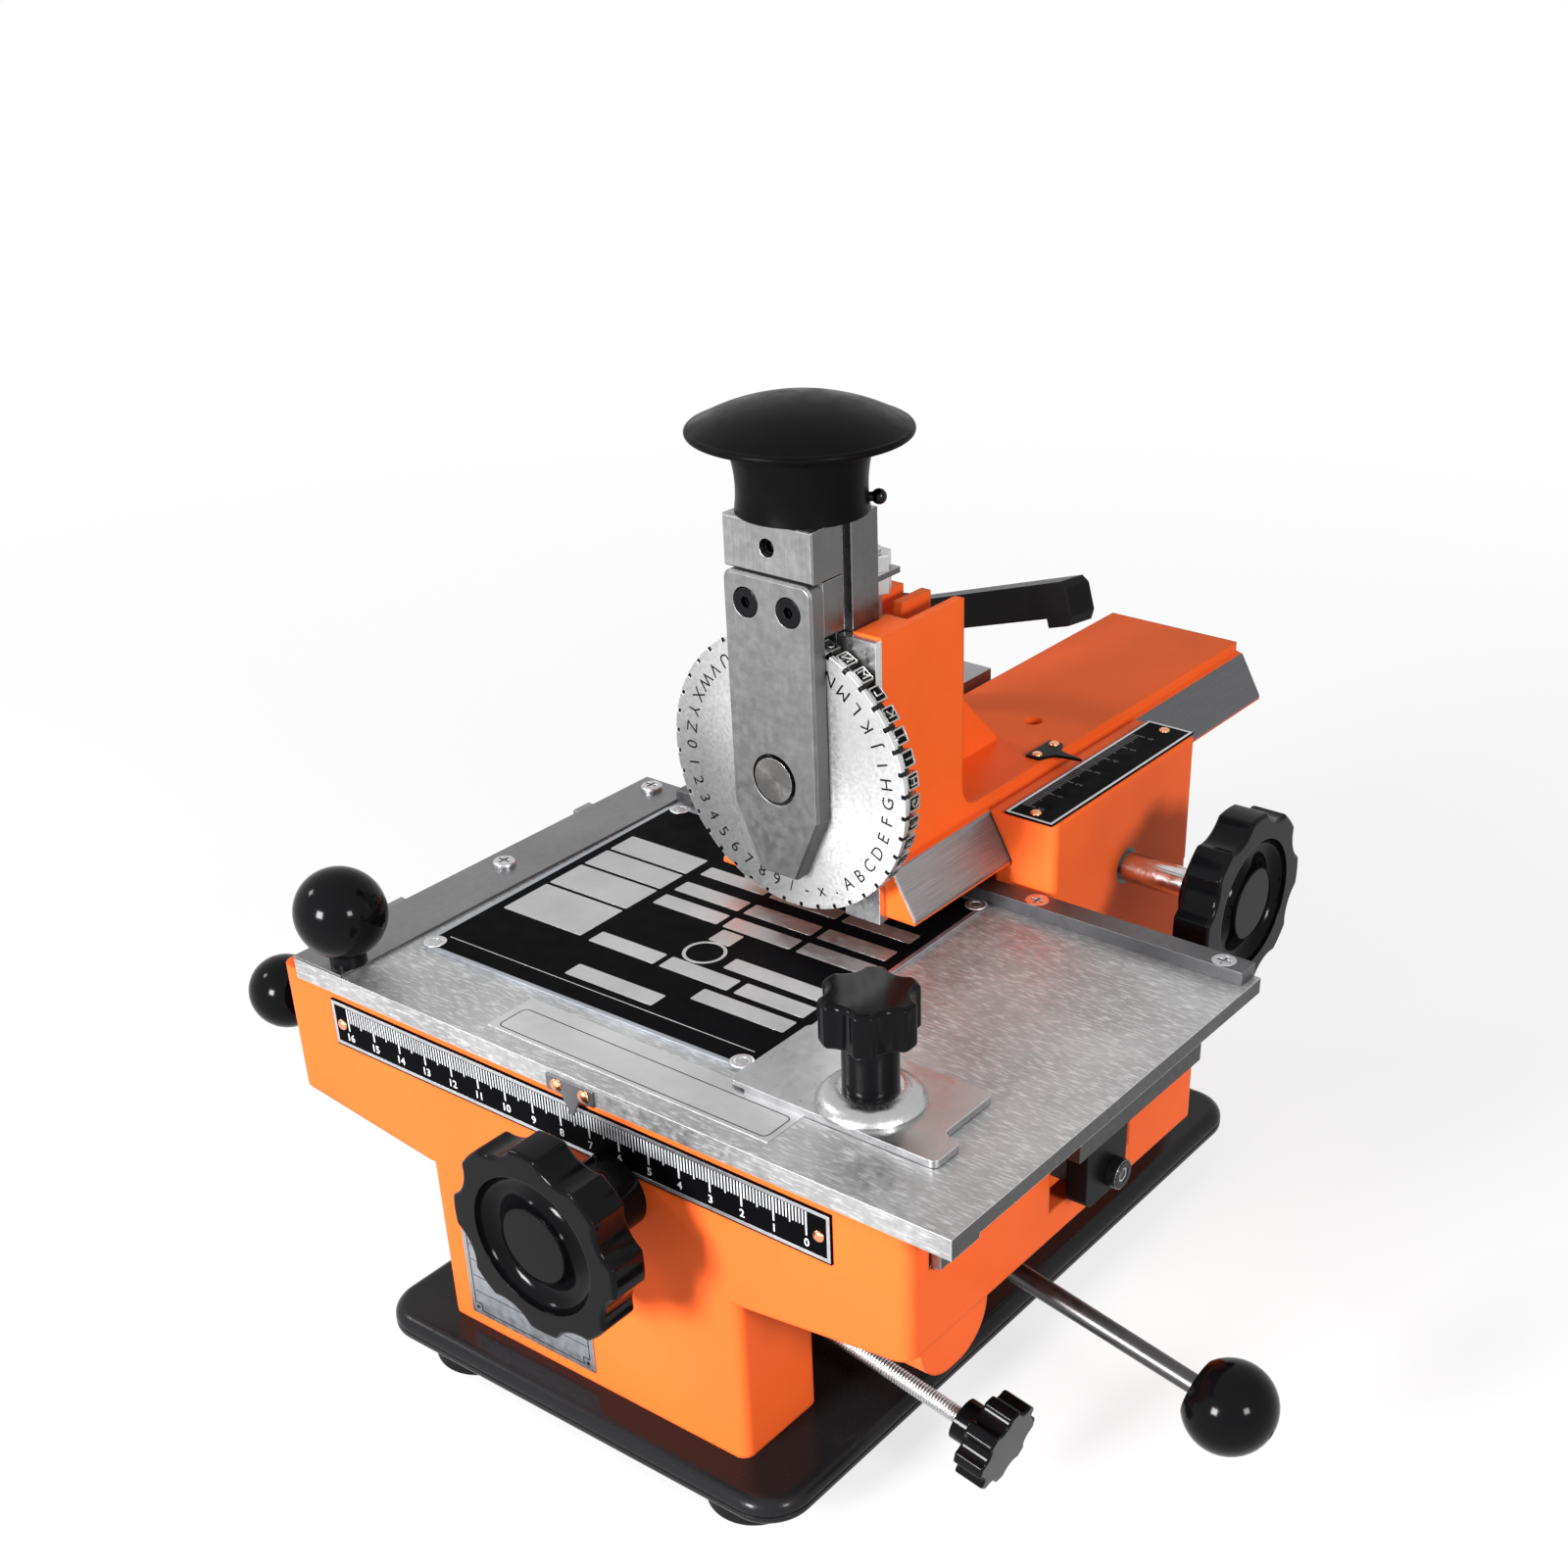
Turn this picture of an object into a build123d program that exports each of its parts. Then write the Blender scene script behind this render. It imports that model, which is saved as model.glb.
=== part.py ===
"""Hand-operated nameplate marking machine, built as separate pieces in millimetres, +Z up.

Working axes: X to the right, Y to the back, with Y = 0 on the front face of the body and Z = 0 at the
foot of the division lines of the front scale. The finished solids are moved to an origin under the middle.
"""
from build123d import *

import math
import os

# Running and seating clearances
RUN_GAP = 0.3
SHAFT_GAP = 0.05
OVERRUN = 4.0

# Shares of a part's own size, for rounds and screw recesses
FACE_ROUND_SHARE = 0.8
LUG_ROUND_SHARE = 0.45
CROSS_WIDE_SHARE = 0.62
CROSS_THIN_SHARE = 0.14
CROSS_DEPTH_SHARE = 0.3
SCREW_CROWN_SHARE = 0.6
WASHER_BULGE_SHARE = 0.72

# Front scale and the body box that carries it
SCALE_LEFT_X = -86.2
SCALE_RIGHT_X = 87.3
SCALE_TOP_Z = 8.4
SCALE_BOTTOM_Z = -6.0
SCALE_THICK = 0.8
RIVET_RADIUS = 1.7
RIVET_HEIGHT = 0.9
SCALE_RIVET_INSET = 3.6
BODY_LEFT_X = -107.0
BODY_RIGHT_X = 109.0
BODY_BACK_Y = 135.0
BODY_TOP_Z = 12.4
BODY_WALL = 6.0
BODY_CORNER = 4.0
DECK_THICK = 13.4
WING_ROOT_Z = -33.2
WING_TIP_Z = -26.5
COLUMN_HALF = 55.5
COLUMN_FOOT_Z = -86.0
COLUMN_CORNER = 3.5
PILLAR_BACK_Y = 31.0
REAR_FRONT_Y = 74.0
REAR_BACK_Y = 222.0
LUG_OUT_X = 108.0
LUG_THICK = 11.0
LUG_FRONT_Y = 6.5
LUG_BACK_Y = 34.5
LUG_BOTTOM_Z = -40.5

# Tee channel along the deck, groove for the table rack, and inlaid ways
TEE_WIDE_FRONT_Y = 51.5
TEE_WIDE_BACK_Y = 110.5
TEE_LEDGE_Z = 7.2
TEE_SLOT_FRONT_Y = 60.5
TEE_SLOT_BACK_Y = 99.5
TEE_SLOT_FLOOR_Z = -18.0
WAY_WIDTH = 7.0
WAY_FRONT_Y = 38.0
WAY_BACK_Y = 117.0
WAY_DEPTH = 2.2
WAY_PROUD = 1.3

# Base plate and feet
BASE_HALF = 75.5
BASE_FRONT_Y = -12.0
BASE_BACK_Y = 230.0
BASE_CORNER = 13.0
BASE_UPPER = 4.1
BASE_LOWER = 2.8
BASE_GROOVE = 0.6
BASE_GROOVE_IN = 0.9
BASE_SHOULDER = 3.9
BASE_LIP_ROUND = 1.8
FOOT_RADIUS = 13.6
FOOT_HEIGHT = 10.5
FOOT_INSET_X = 23.1
FOOT_INSET_Y = 18.6
FOOT_ROUND = 2.0

# Blank specification plate on the pillar
SPEC_LEFT_X = -46.0
SPEC_RIGHT_X = 2.0
SPEC_BOTTOM_Z = -82.0
SPEC_TOP_Z = -49.0
SPEC_THICK = 0.5

# Rear blocks and dovetail ways of the head slide
BLOCK_FRONT_Y = 143.0
BLOCK_TOP_Z = 42.4
CHANNEL_FLOOR_Z = 18.0
CHANNEL_FLOOR_THICK = 6.0
BLOCK_ROOT_Z = 2.0
REAR_BLOCK_CORNER = 2.8
REAR_BLOCK_EDGE = 1.0
LEDGE_RIGHT_X = 36.0
LEDGE_LEFT_X = -22.0
GIB_SEAT_Z = 22.0
GIB_OUT_X = -38.0
GIB_TOP_Z = 46.0
GIB_TOP_X = -20.9
GIB_FOOT_X = -27.6
GIB_OVERHANG = 1.5
GIB_BOLT_X = -32.0
GIB_BOLT_RADIUS = 2.5
GIB_BOLT_HEAD_RADIUS = 5.0
GIB_BOLT_HEAD = 3.2
GIB_BOLT_REACH = 30.0
GIB_BOLT_INSET_Y = 12.0
GIB_SCREW_RADIUS = 2.5
GIB_SCREW_HEAD_RADIUS = 4.2
GIB_SCREW_HEAD = 3.0
GIB_SCREW_Z = 32.0
GIB_SCREW_INSET_Y = 20.0

# Head: centre line, slide and housing
HEAD_X = 7.0
SLIDE_TOP_HALF = 23.9
SLIDE_TOP_Z = 44.9
SLIDE_SHOULDER_Z = 42.0
FLANK_TOP_HALF = 26.4
FLANK_TOP_Z = 41.3
FLANK_FOOT_HALF = 33.8
FLANK_FOOT_Z = 28.5
SLIDE_BOTTOM_Z = 27.2
HEAD_FRONT_Y = 97.0
SLIDE_BACK_Y = 291.5
SLIDE_GROOVE_HALF = 9.0
SLIDE_GROOVE_DEPTH = 5.0
OIL_HOLE_X = 12.2
OIL_HOLE_Y = 197.5
OIL_HOLE_RADIUS = 3.0
HOUSING_TOP_GAP = 1.5
HOUSING_BACK_Y = 133.5
HOUSING_BOTTOM_Z = 26.0
RIB_THICK = 3.0
INNER_RIB_HALF = 13.0
WEB_HALF = 4.0
WEB_DROP = 14.3
WEB_END_Y = 181.0
POCKET_FRONT_Y = 115.0
ROOF_THICK = 2.8
POCKET_BACK_DROP = 16.3
HEAD_FILLET = 7.0

# Ram channel, ram and its covers
FLANGE_INSET = 9.3
RAM_FLANGE_FRONT_Y = 97.4
RAM_FLANGE_BACK_Y = 108.4
FLANGE_LAP = 2.8
RAM_NECK_FRONT_Y = 94.0
RAM_BOTTOM_Z = 42.0
BLOCK_HEIGHT = 13.2
RAM_FLOOR_Z = 30.0
RAM_STROKE = 9.0
COVER_FRONT_Y = 94.4
COVER_GAP = 0.4
COVER_TOP_DROP = 0.5
COVER_BOTTOM_Z = 25.7
COVER_SCREW_RADIUS = 2.2
COVER_SCREW_HEAD_RADIUS = 3.9
COVER_SCREW_INSET_Z = 16.0
COVER_SCREW_REACH = 9.0
BOSS_HALF = 14.25
BOSS_FRONT_Y = 86.1
BOSS_CLEARANCE = 1.7
BOSS_HEIGHT = 14.5
RAM_BLOCK_FRONT_Y = 82.0
BLOCK_EDGE = 0.8
SET_SCREW_RADIUS = 2.4
SET_SCREW_RISE = 6.9
SET_SCREW_DEPTH = 5.0
SPRING_BORE_RADIUS = 4.8
SPRING_BORE_DEPTH = 34.0
SPRING_Y = 102.9
SPRING_PIN_RADIUS = 1.8
SPRING_PIN_TOP_Z = 40.0

# Return spring
SPRING_RADIUS = 3.4
SPRING_WIRE = 0.6
SPRING_TURNS = 10

# Type wheel, its pin and the bracket in front of it
PRESS_GAP = 0.1
WHEEL_RADIUS = 38.8
WHEEL_FRONT_Y = 86.4
WHEEL_THICK = 7.0
TYPE_COUNT = 40
TYPE_GAP = 1.8
TYPE_GAP_DEPTH = 2.1
PIN_RADIUS = 6.2
PIN_PROUD = 0.4
BRACKET_FRONT_Y = 81.0
BRACKET_HALF = 14.25
BRACKET_TAPER_DROP = 9.3
BRACKET_TIP_HALF = 6.0
BRACKET_TIP_DROP = 28.0
BRACKET_CORNER = 3.0
BRACKET_EDGE = 0.7
BRACKET_BORE_RADIUS = 7.2
BRACKET_SCREW_HALF = 6.9
BRACKET_SCREW_RISE = 6.4
SOCKET_HEAD_RADIUS = 3.7
SOCKET_HEAD = 3.4
SOCKET_SHANK_RADIUS = 2.0
SOCKET_REACH = 5.0
SOCKET_HEX = 1.6
SOCKET_HEX_DEPTH = 1.8
GIB_HEX = 3.2
COUNTERBORE_GAP = 0.35

# Press knob
KNOB_Y = 96.7
CAP_RADIUS = 28.6
CAP_RIM_RISE = 18.7
CAP_RIM_THICK = 1.9
CAP_RISE = 7.0
NECK_RADIUS = 17.7
NECK_WAIST = 17.2
NECK_RISE = 13.7
NECK_FLARE = 3.6
NECK_ROUND = 1.0

# Stop stud at the back of the ram, and small pin on the ram
STUD_X = 14.9
STUD_Y = 114.6
STUD_RADIUS = 2.5
STUD_PROUD = 7.2
STUD_DROP = 21.0
NUT_RADIUS = 5.4
NUT_THICK = 4.3
TAB_RISE = 8.7
TAB_THICK = 1.6
TAB_HALF = 5.2
TAB_BACK_Y = 119.8
STOP_POCKET_SIDE = 6.0
STOP_POCKET_DEPTH = 8.7
SLEEVE_RADIUS = 4.4
EAR_PIN_RADIUS = 1.2
EAR_BALL_RADIUS = 2.0
EAR_BALL_OUT = 19.2
EAR_PIN_IN = 13.0
EAR_PIN_RISE = 2.5
EAR_PIN_TURN = 38.8

# Detent knob on the left of the housing
DETENT_Y = 116.0
DETENT_Z = 62.0
DETENT_RADIUS = 4.2
DETENT_LENGTH = 7.0
DETENT_STEM_RADIUS = 2.2
DETENT_STEM_IN = 8.0

# Lobed handwheels: front one on the Y axis, side one on the X axis
HANDWHEEL_RADIUS = 27.4
HANDWHEEL_RIM = 11.5
HANDWHEEL_LOBES = 8
SCALLOP_RADIUS = 11.0
SCALLOP_DEPTH = 2.6
HANDWHEEL_ROUND = 1.4
DISH_RADIUS = 19.5
DISH_HUB_RADIUS = 10.5
DISH_DEPTH = 4.6
HUB_FACE_DROP = 0.6
HUB_BOSS_RADIUS = 10.5
FRONT_BOSS_LENGTH = 18.6
SIDE_BOSS_LENGTH = 7.5
FRONT_SHAFT_X = 18.2
FRONT_SHAFT_Z = -12.0
FRONT_WHEEL_BACK_Y = -20.2
SHAFT_RADIUS = 4.5
SHAFT_IN_HUB = 12.0
PINION_RADIUS = 9.0
TABLE_RACK_FRONT_Y = 9.0
TABLE_RACK_BACK_Y = 16.0
TABLE_RACK_LEFT_X = -62.0
TABLE_RACK_RIGHT_X = 112.0
RACK_GROOVE_GAP = 0.6
BUSH_SLEEVE_RADIUS = 5.6
SIDE_SHAFT_Y = 184.0
SIDE_SHAFT_Z = 14.0
SIDE_WHEEL_IN_X = 86.6
SIDE_SHAFT_END_X = -2.0
HEAD_RACK_LEFT_X = 2.0
HEAD_RACK_RIGHT_X = 12.0
HEAD_RACK_FRONT_Y = 148.0
HEAD_RACK_BACK_Y = 246.0
PINION_WINDOW_GAP = 3.0

# Table and what slides with it
TABLE_LEFT_X = -96.0
TABLE_RIGHT_X = 123.4
TABLE_FRONT_Y = -3.0
TABLE_BACK_Y = 140.0
TABLE_TOP_Z = 18.6
TABLE_THICK = 4.6
LIP_DEPTH = 5.9
LIP_WIDTH = 11.0
CARRIAGE_LEFT_X = -66.0
CARRIAGE_RIGHT_X = 122.6
CARRIAGE_THICK = 6.2
INDEX_BAR_FRONT_Y = 72.0
INDEX_BAR_BACK_Y = 82.0
INDEX_BAR_TOP_Z = -6.5
INDEX_BAR_BOTTOM_Z = -15.5
INDEX_BAR_LEFT_X = -104.0
BRACKET_ARM_IN_X = 111.0
BRACKET_ARM_OUT_X = 117.0
BRACKET_ARM_FRONT_Y = 65.0
BRACKET_ARM_BACK_Y = 84.0
BRACKET_ARM_BOTTOM_Z = -16.5
BRACKET_ARM_ROUND = 3.0
ARM_SCREW_RADIUS = 4.0
ARM_SCREW_HEAD = 3.2
ARM_SCREW_Y = 77.5
ARM_SCREW_Z = -11.0
SIDE_STRIP_WIDTH = 19.0
SIDE_STRIP_THICK = 0.9
BACK_STRIP_WIDTH = 7.2
BACK_STRIP_THICK = 4.0
BACK_STRIP_RIGHT_X = 121.4
STRIP_SCREW_RADIUS = 3.4
STRIP_SCREW_HEIGHT = 1.6
STRIP_SCREW_SHANK = 1.9
STRIP_SCREW_REACH = 4.0
SIDE_SCREW_X = -88.5
SIDE_SCREW_YS_SHARES = (0.508, 0.958)
BACK_SCREW_XS_SHARES = (0.686, 0.957)
BALL_RADIUS = 12.5
BALL_FLAT = 9.6
TABLE_BALL_X = -81.2
TABLE_BALL_Y = 3.7
TABLE_BALL_NECK_RADIUS = 5.0
TABLE_BALL_NECK = 2.4
POINTER_X = 7.5
POINTER_THICK = 0.7
POINTER_HALF = 8.0
POINTER_TOP_Z = 17.2
POINTER_SHOULDER_Z = 12.6
POINTER_TIP_Z = 7.6
POINTER_TIP_HALF = 0.5
POINTER_NECK_HALF = 3.0
POINTER_RIVET_HALF = 4.7
POINTER_RIVET_Z = 14.8
POINTER_RIVET_RADIUS = 1.9
LABEL_LEFT_X = -27.5
LABEL_RIGHT_X = 66.0
LABEL_FRONT_Y = 2.9
LABEL_BACK_Y = 19.4
LABEL_THICK = 0.15
NAMEPLATE_WIDTH = 117.4
NAMEPLATE_DEPTH = 108.0
NAMEPLATE_THICK = 0.8
NAMEPLATE_X = -16.0
NAMEPLATE_Y = 76.9
NAMEPLATE_TURN = 1.2
NAMEPLATE_CORNER = 3.5

# Clamp for the nameplate
CLAMP_LEFT_X = 42.4
CLAMP_RIGHT_X = 99.4
CLAMP_FRONT_Y = 16.8
CLAMP_BACK_Y = 49.0
CLAMP_THICK = 2.2
CLAMP_TAB_X = 105.0
CLAMP_TAB_BACK_Y = 27.5
CLAMP_CORNER = 2.0
CLAMP_REBATE = 5.0
CLAMP_STUD_X = 76.8
CLAMP_STUD_Y = 29.5
CLAMP_STUD_RADIUS = 3.0
WASHER_RADIUS = 13.8
WASHER_RISE = 4.4
WASHER_CROWN_RADIUS = 8.2
WASHER_EDGE = 0.8
STAR_STEM_RADIUS = 7.1
STAR_STEM = 14.0
STAR_RADIUS = 12.6
STAR_HEAD = 12.0
STAR_LOBES = 6
STAR_SCALLOP_RADIUS = 6.0
STAR_SCALLOP_DEPTH = 2.2
STAR_ROUND = 1.6
STAR_STUD_IN = 10.0

# Clamp lever on the rear gib
LEVER_X = -29.5
LEVER_Y = 187.0
LEVER_STUD_RADIUS = 3.5
LEVER_HUB_RADIUS = 8.0
LEVER_HUB_FOOT = 6.0
LEVER_HUB_TOP_Z = 77.0
LEVER_HUB_BOTTOM_Z = 46.4
LEVER_NECK_Z = 66.0
LEVER_STUD_FOOT_Z = 34.0
LEVER_REACH = 79.9
LEVER_TURN = -13.0
LEVER_RISE = 19.5
LEVER_BAR_WIDTH = 9.0
LEVER_BAR_HEIGHT = 9.6
LEVER_BAR_Z = 72.3
LEVER_HOOK = 10.0
LEVER_HOOK_DROP = 2.6
LEVER_ROUND = 2.0

# Rocking ball lever under the deck
ROCKER_X = -16.0
ROCKER_Y = 62.0
ROCKER_Z = -18.2
ROCKER_BALL_OUT = 179.4
ROCKER_DROOP = 11.8
ROCKER_HUB_RADIUS = 9.0
ROCKER_HUB_HALF = 6.5
ROCKER_ROD_ROOT = 3.4
ROCKER_ROD_TIP = 2.7
ROCKER_STUD_RADIUS = 4.0
ROCKER_SHOULDER_RADIUS = 7.0
ROCKER_STUD_END = 3.0
PAWL_PIN_RADIUS = 2.0
PAWL_PIN_X = 4.0
PAWL_PIN_Z = -27.0
PAWL_PLATE_THICK = 3.0
PAWL_LENGTH = 12.0
PAWL_ROOT_RADIUS = 3.6
PAWL_TIP_RADIUS = 1.0
PAWL_ANGLE = 145.0

# Threaded adjusting rod and its knob
ROD_INNER_X = 18.0
ROD_OUTER_X = 108.7
ROD_Y = 38.0
ROD_OUTER_Z = -77.8
ROD_SLOPE = 11.2
ROD_RADIUS = 2.5
ROD_LUG_LENGTH = 14.0
ROD_LUG_HALF = 7.0
ROD_LUG_BOTTOM_Z = -70.8
ROD_LUG_TOP_Z = -49.8
ROD_KNOB_RADIUS = 12.6
ROD_KNOB_THICK = 9.0
ROD_KNOB_BOSS = 6.0
ROD_KNOB_BOSS_RADIUS = 6.0
ROD_KNOB_SCALLOP_RADIUS = 3.6
ROD_KNOB_SCALLOP_DEPTH = 2.0
ROD_KNOB_ROUND = 0.9

# Small parts of the head scale and its pointer
HEAD_SCALE_LEFT_X = 38.6
HEAD_SCALE_RIGHT_X = 54.4
HEAD_SCALE_BACK_Y = 222.0
HEAD_SCALE_THICK = 0.6
HEAD_SCALE_RIVET_INSET = 4.0
HEAD_POINTER_X = 28.0
HEAD_POINTER_Y = 180.4
HEAD_POINTER_HALF = 6.6
HEAD_POINTER_WAIST = 4.4
HEAD_POINTER_WAIST_HALF = 1.8
HEAD_POINTER_TIP = 12.6
HEAD_POINTER_THICK = 0.8
HEAD_POINTER_LEFT = 2.7
HEAD_POINTER_NECK = 1.8
HEAD_POINTER_RIVET_REACH = 4.6

# Sizes that follow from the ones above
BASE_TOP_Z = COLUMN_FOOT_Z
BASE_BOTTOM_Z = BASE_TOP_Z - BASE_UPPER - BASE_GROOVE - BASE_LOWER
FOOT_BOTTOM_Z = BASE_BOTTOM_Z - FOOT_HEIGHT
DECK_BOTTOM_Z = BODY_TOP_Z - DECK_THICK
TABLE_BOTTOM_Z = TABLE_TOP_Z - TABLE_THICK
CARRIAGE_BOTTOM_Z = TABLE_BOTTOM_Z - CARRIAGE_THICK
TABLE_RACK_BOTTOM_Z = FRONT_SHAFT_Z + PINION_RADIUS + RUN_GAP
HEAD_RACK_BOTTOM_Z = SIDE_SHAFT_Z + PINION_RADIUS + RUN_GAP
BRACKET_BACK_Y = BOSS_FRONT_Y
SIDE_STRIP_INNER_X = TABLE_LEFT_X + SIDE_STRIP_WIDTH
BACK_STRIP_FRONT_Y = TABLE_BACK_Y - BACK_STRIP_WIDTH
SIDE_STRIP_TOP_Z = TABLE_TOP_Z + SIDE_STRIP_THICK
TABLE_BALL_Z = SIDE_STRIP_TOP_Z + TABLE_BALL_NECK + BALL_RADIUS
CLAMP_TOP_Z = TABLE_TOP_Z + CLAMP_THICK
STAR_BOTTOM_Z = CLAMP_TOP_Z + WASHER_RISE
RAM_FLANGE_HALF = SLIDE_TOP_HALF - FLANGE_INSET
RAM_NECK_HALF = RAM_FLANGE_HALF - FLANGE_LAP
COVER_INNER_HALF = RAM_NECK_HALF + COVER_GAP
HUB_Z = TABLE_TOP_Z + NAMEPLATE_THICK + PRESS_GAP + RAM_STROKE + WHEEL_RADIUS
BOSS_BOTTOM_Z = HUB_Z + WHEEL_RADIUS + BOSS_CLEARANCE
BLOCK_BOTTOM_Z = BOSS_BOTTOM_Z + BOSS_HEIGHT
RAM_TOP_Z = BLOCK_BOTTOM_Z + BLOCK_HEIGHT
SET_SCREW_Z = BLOCK_BOTTOM_Z + SET_SCREW_RISE
BRACKET_TOP_Z = BLOCK_BOTTOM_Z - BLOCK_EDGE / 2
BRACKET_SCREW_Z = BOSS_BOTTOM_Z + BRACKET_SCREW_RISE
BRACKET_TAPER_Z = HUB_Z - BRACKET_TAPER_DROP
BRACKET_TIP_Z = HUB_Z - BRACKET_TIP_DROP
NECK_TOP_Z = RAM_TOP_Z + NECK_RISE
CAP_RIM_Z = RAM_TOP_Z + CAP_RIM_RISE
EAR_PIN_Z = RAM_TOP_Z + EAR_PIN_RISE
HOUSING_TOP_Z = BOSS_BOTTOM_Z - HOUSING_TOP_GAP
WEB_TOP_Z = HOUSING_TOP_Z - WEB_DROP
POCKET_ROOF_Z = HOUSING_TOP_Z - ROOF_THICK
POCKET_BACK_Z = HOUSING_TOP_Z - POCKET_BACK_DROP
COVER_TOP_Z = HOUSING_TOP_Z - COVER_TOP_DROP
STOP_POCKET_Z = HOUSING_TOP_Z - STOP_POCKET_DEPTH
TAB_BOTTOM_Z = HOUSING_TOP_Z + TAB_RISE
STUD_TOP_Z = TAB_BOTTOM_Z + STUD_PROUD
STUD_BOTTOM_Z = TAB_BOTTOM_Z - STUD_DROP

# The origin lies under the middle of the machine, where the feet stand
ORIGIN_X = ROCKER_X
ORIGIN_Y = (FRONT_WHEEL_BACK_Y - HANDWHEEL_RIM + SLIDE_BACK_Y) / 2
ORIGIN_Z = FOOT_BOTTOM_Z


def block(x0, x1, y0, y1, z0, z1):
    """A box given by its limits along the three axes."""
    centre = Pos((x0 + x1) / 2, (y0 + y1) / 2, (z0 + z1) / 2)
    return centre * Box(x1 - x0, y1 - y0, z1 - z0)


def rod_x(y, z, x0, x1, radius):
    """A round bar along X."""
    return Pos((x0 + x1) / 2, y, z) * Rot(0, 90, 0) * Cylinder(radius, x1 - x0)


def rod_y(x, z, y0, y1, radius):
    """A round bar along Y."""
    return Pos(x, (y0 + y1) / 2, z) * Rot(90, 0, 0) * Cylinder(radius, y1 - y0)


def rod_z(x, y, z0, z1, radius):
    """A round bar along Z."""
    return Pos(x, y, (z0 + z1) / 2) * Cylinder(radius, z1 - z0)


def prism_x(points, x0, x1):
    """A straight prism along X from a polygon of (y, z) points."""
    face = make_face(Polyline(*[(0, y, z) for y, z in points], close=True))
    return Pos(x0, 0, 0) * extrude(face, amount=x1 - x0, dir=(1, 0, 0))


def prism_y(points, y0, y1):
    """A straight prism along Y from a polygon of (x, z) points."""
    face = make_face(Polyline(*[(x, 0, z) for x, z in points], close=True))
    return Pos(0, y0, 0) * extrude(face, amount=y1 - y0, dir=(0, 1, 0))


def prism_z(points, z0, z1):
    """A straight prism along Z from a polygon of (x, y) points."""
    face = make_face(Polyline(*[(x, y, 0) for x, y in points], close=True))
    return Pos(0, 0, z0) * extrude(face, amount=z1 - z0, dir=(0, 0, 1))


def upright_rounded(solid, radius):
    """The solid with its upright edges rounded."""
    return fillet(solid.edges().filter_by(Axis.Z), radius)


def lobed_disc(radius, thick, lobes, scallop_radius, scallop_depth, edge_round):
    """A disc along Z, standing on Z = 0, with round bites between its lobes and rounded face edges."""
    disc = Pos(0, 0, thick / 2) * Cylinder(radius, thick)
    reach = radius + scallop_radius - scallop_depth
    for turn in range(lobes):
        angle = math.radians(360 * (turn + 0.5) / lobes)
        centre = Pos(reach * math.cos(angle), reach * math.sin(angle), thick / 2)
        disc -= centre * Cylinder(scallop_radius, thick + OVERRUN)
    disc = fillet(disc.edges().filter_by(Axis.Z), edge_round)
    rims = disc.faces().filter_by(Axis.Z).edges()
    return fillet(rims, edge_round * FACE_ROUND_SHARE)


def handwheel(boss_length):
    """The lobed handwheel along Z: boss below, rim standing on Z = 0, dished face on top."""
    wheel = lobed_disc(
        HANDWHEEL_RADIUS, HANDWHEEL_RIM, HANDWHEEL_LOBES, SCALLOP_RADIUS, SCALLOP_DEPTH, HANDWHEEL_ROUND
    )
    middle = (DISH_RADIUS + DISH_HUB_RADIUS) / 2
    top = HANDWHEEL_RIM
    floor = Polyline((DISH_HUB_RADIUS, 0, top + OVERRUN), (DISH_HUB_RADIUS, 0, top))
    bowl = ThreePointArc((DISH_HUB_RADIUS, 0, top), (middle, 0, top - DISH_DEPTH), (DISH_RADIUS, 0, top))
    lid = Polyline(
        (DISH_RADIUS, 0, top), (DISH_RADIUS, 0, top + OVERRUN), (DISH_HUB_RADIUS, 0, top + OVERRUN)
    )
    ring = revolve(make_face(floor + bowl + lid), Axis.Z)
    wheel -= ring
    wheel -= rod_z(0, 0, top - HUB_FACE_DROP, top + OVERRUN, DISH_HUB_RADIUS)
    boss = Pos(0, 0, -boss_length / 2) * Cylinder(HUB_BOSS_RADIUS, boss_length)
    return wheel + boss


def coil(radius, wire, z0, z1, turns):
    """One unbroken coil along Z, its centre line made of tangent arcs, two for each quarter turn."""
    quarters = turns * 4
    rise = (z1 - z0) / quarters
    slope = rise / (math.pi / 2)

    def at(step):
        angle = math.pi / 2 * step
        point = Vector(radius * math.cos(angle), radius * math.sin(angle), z0 + rise * step)
        heading = Vector(-radius * math.sin(angle), radius * math.cos(angle), slope).normalized()
        return point, heading

    arcs = []
    for step in range(quarters):
        start, leave = at(step)
        end, arrive = at(step + 1)
        chord = end - start
        both = leave + arrive
        a = both.dot(both) - 4
        b = -2 * chord.dot(both)
        c = chord.dot(chord)
        reach = (-b - math.sqrt(b * b - 4 * a * c)) / (2 * a)
        joint = (start + leave * reach + end - arrive * reach) / 2
        first = TangentArc(start, joint, tangent=leave)
        arcs.append(first)
        arcs.append(TangentArc(joint, end, tangent=first % 1))
    path = Wire([arc.edge() for arc in arcs])
    section = Plane(origin=path @ 0, z_dir=path % 0) * Circle(wire)
    gap = rise * 4 - wire * 2
    print(f"coil: least gap between turns {gap:.2f} mm over {turns} turns")
    return sweep(section, path=path)


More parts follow.
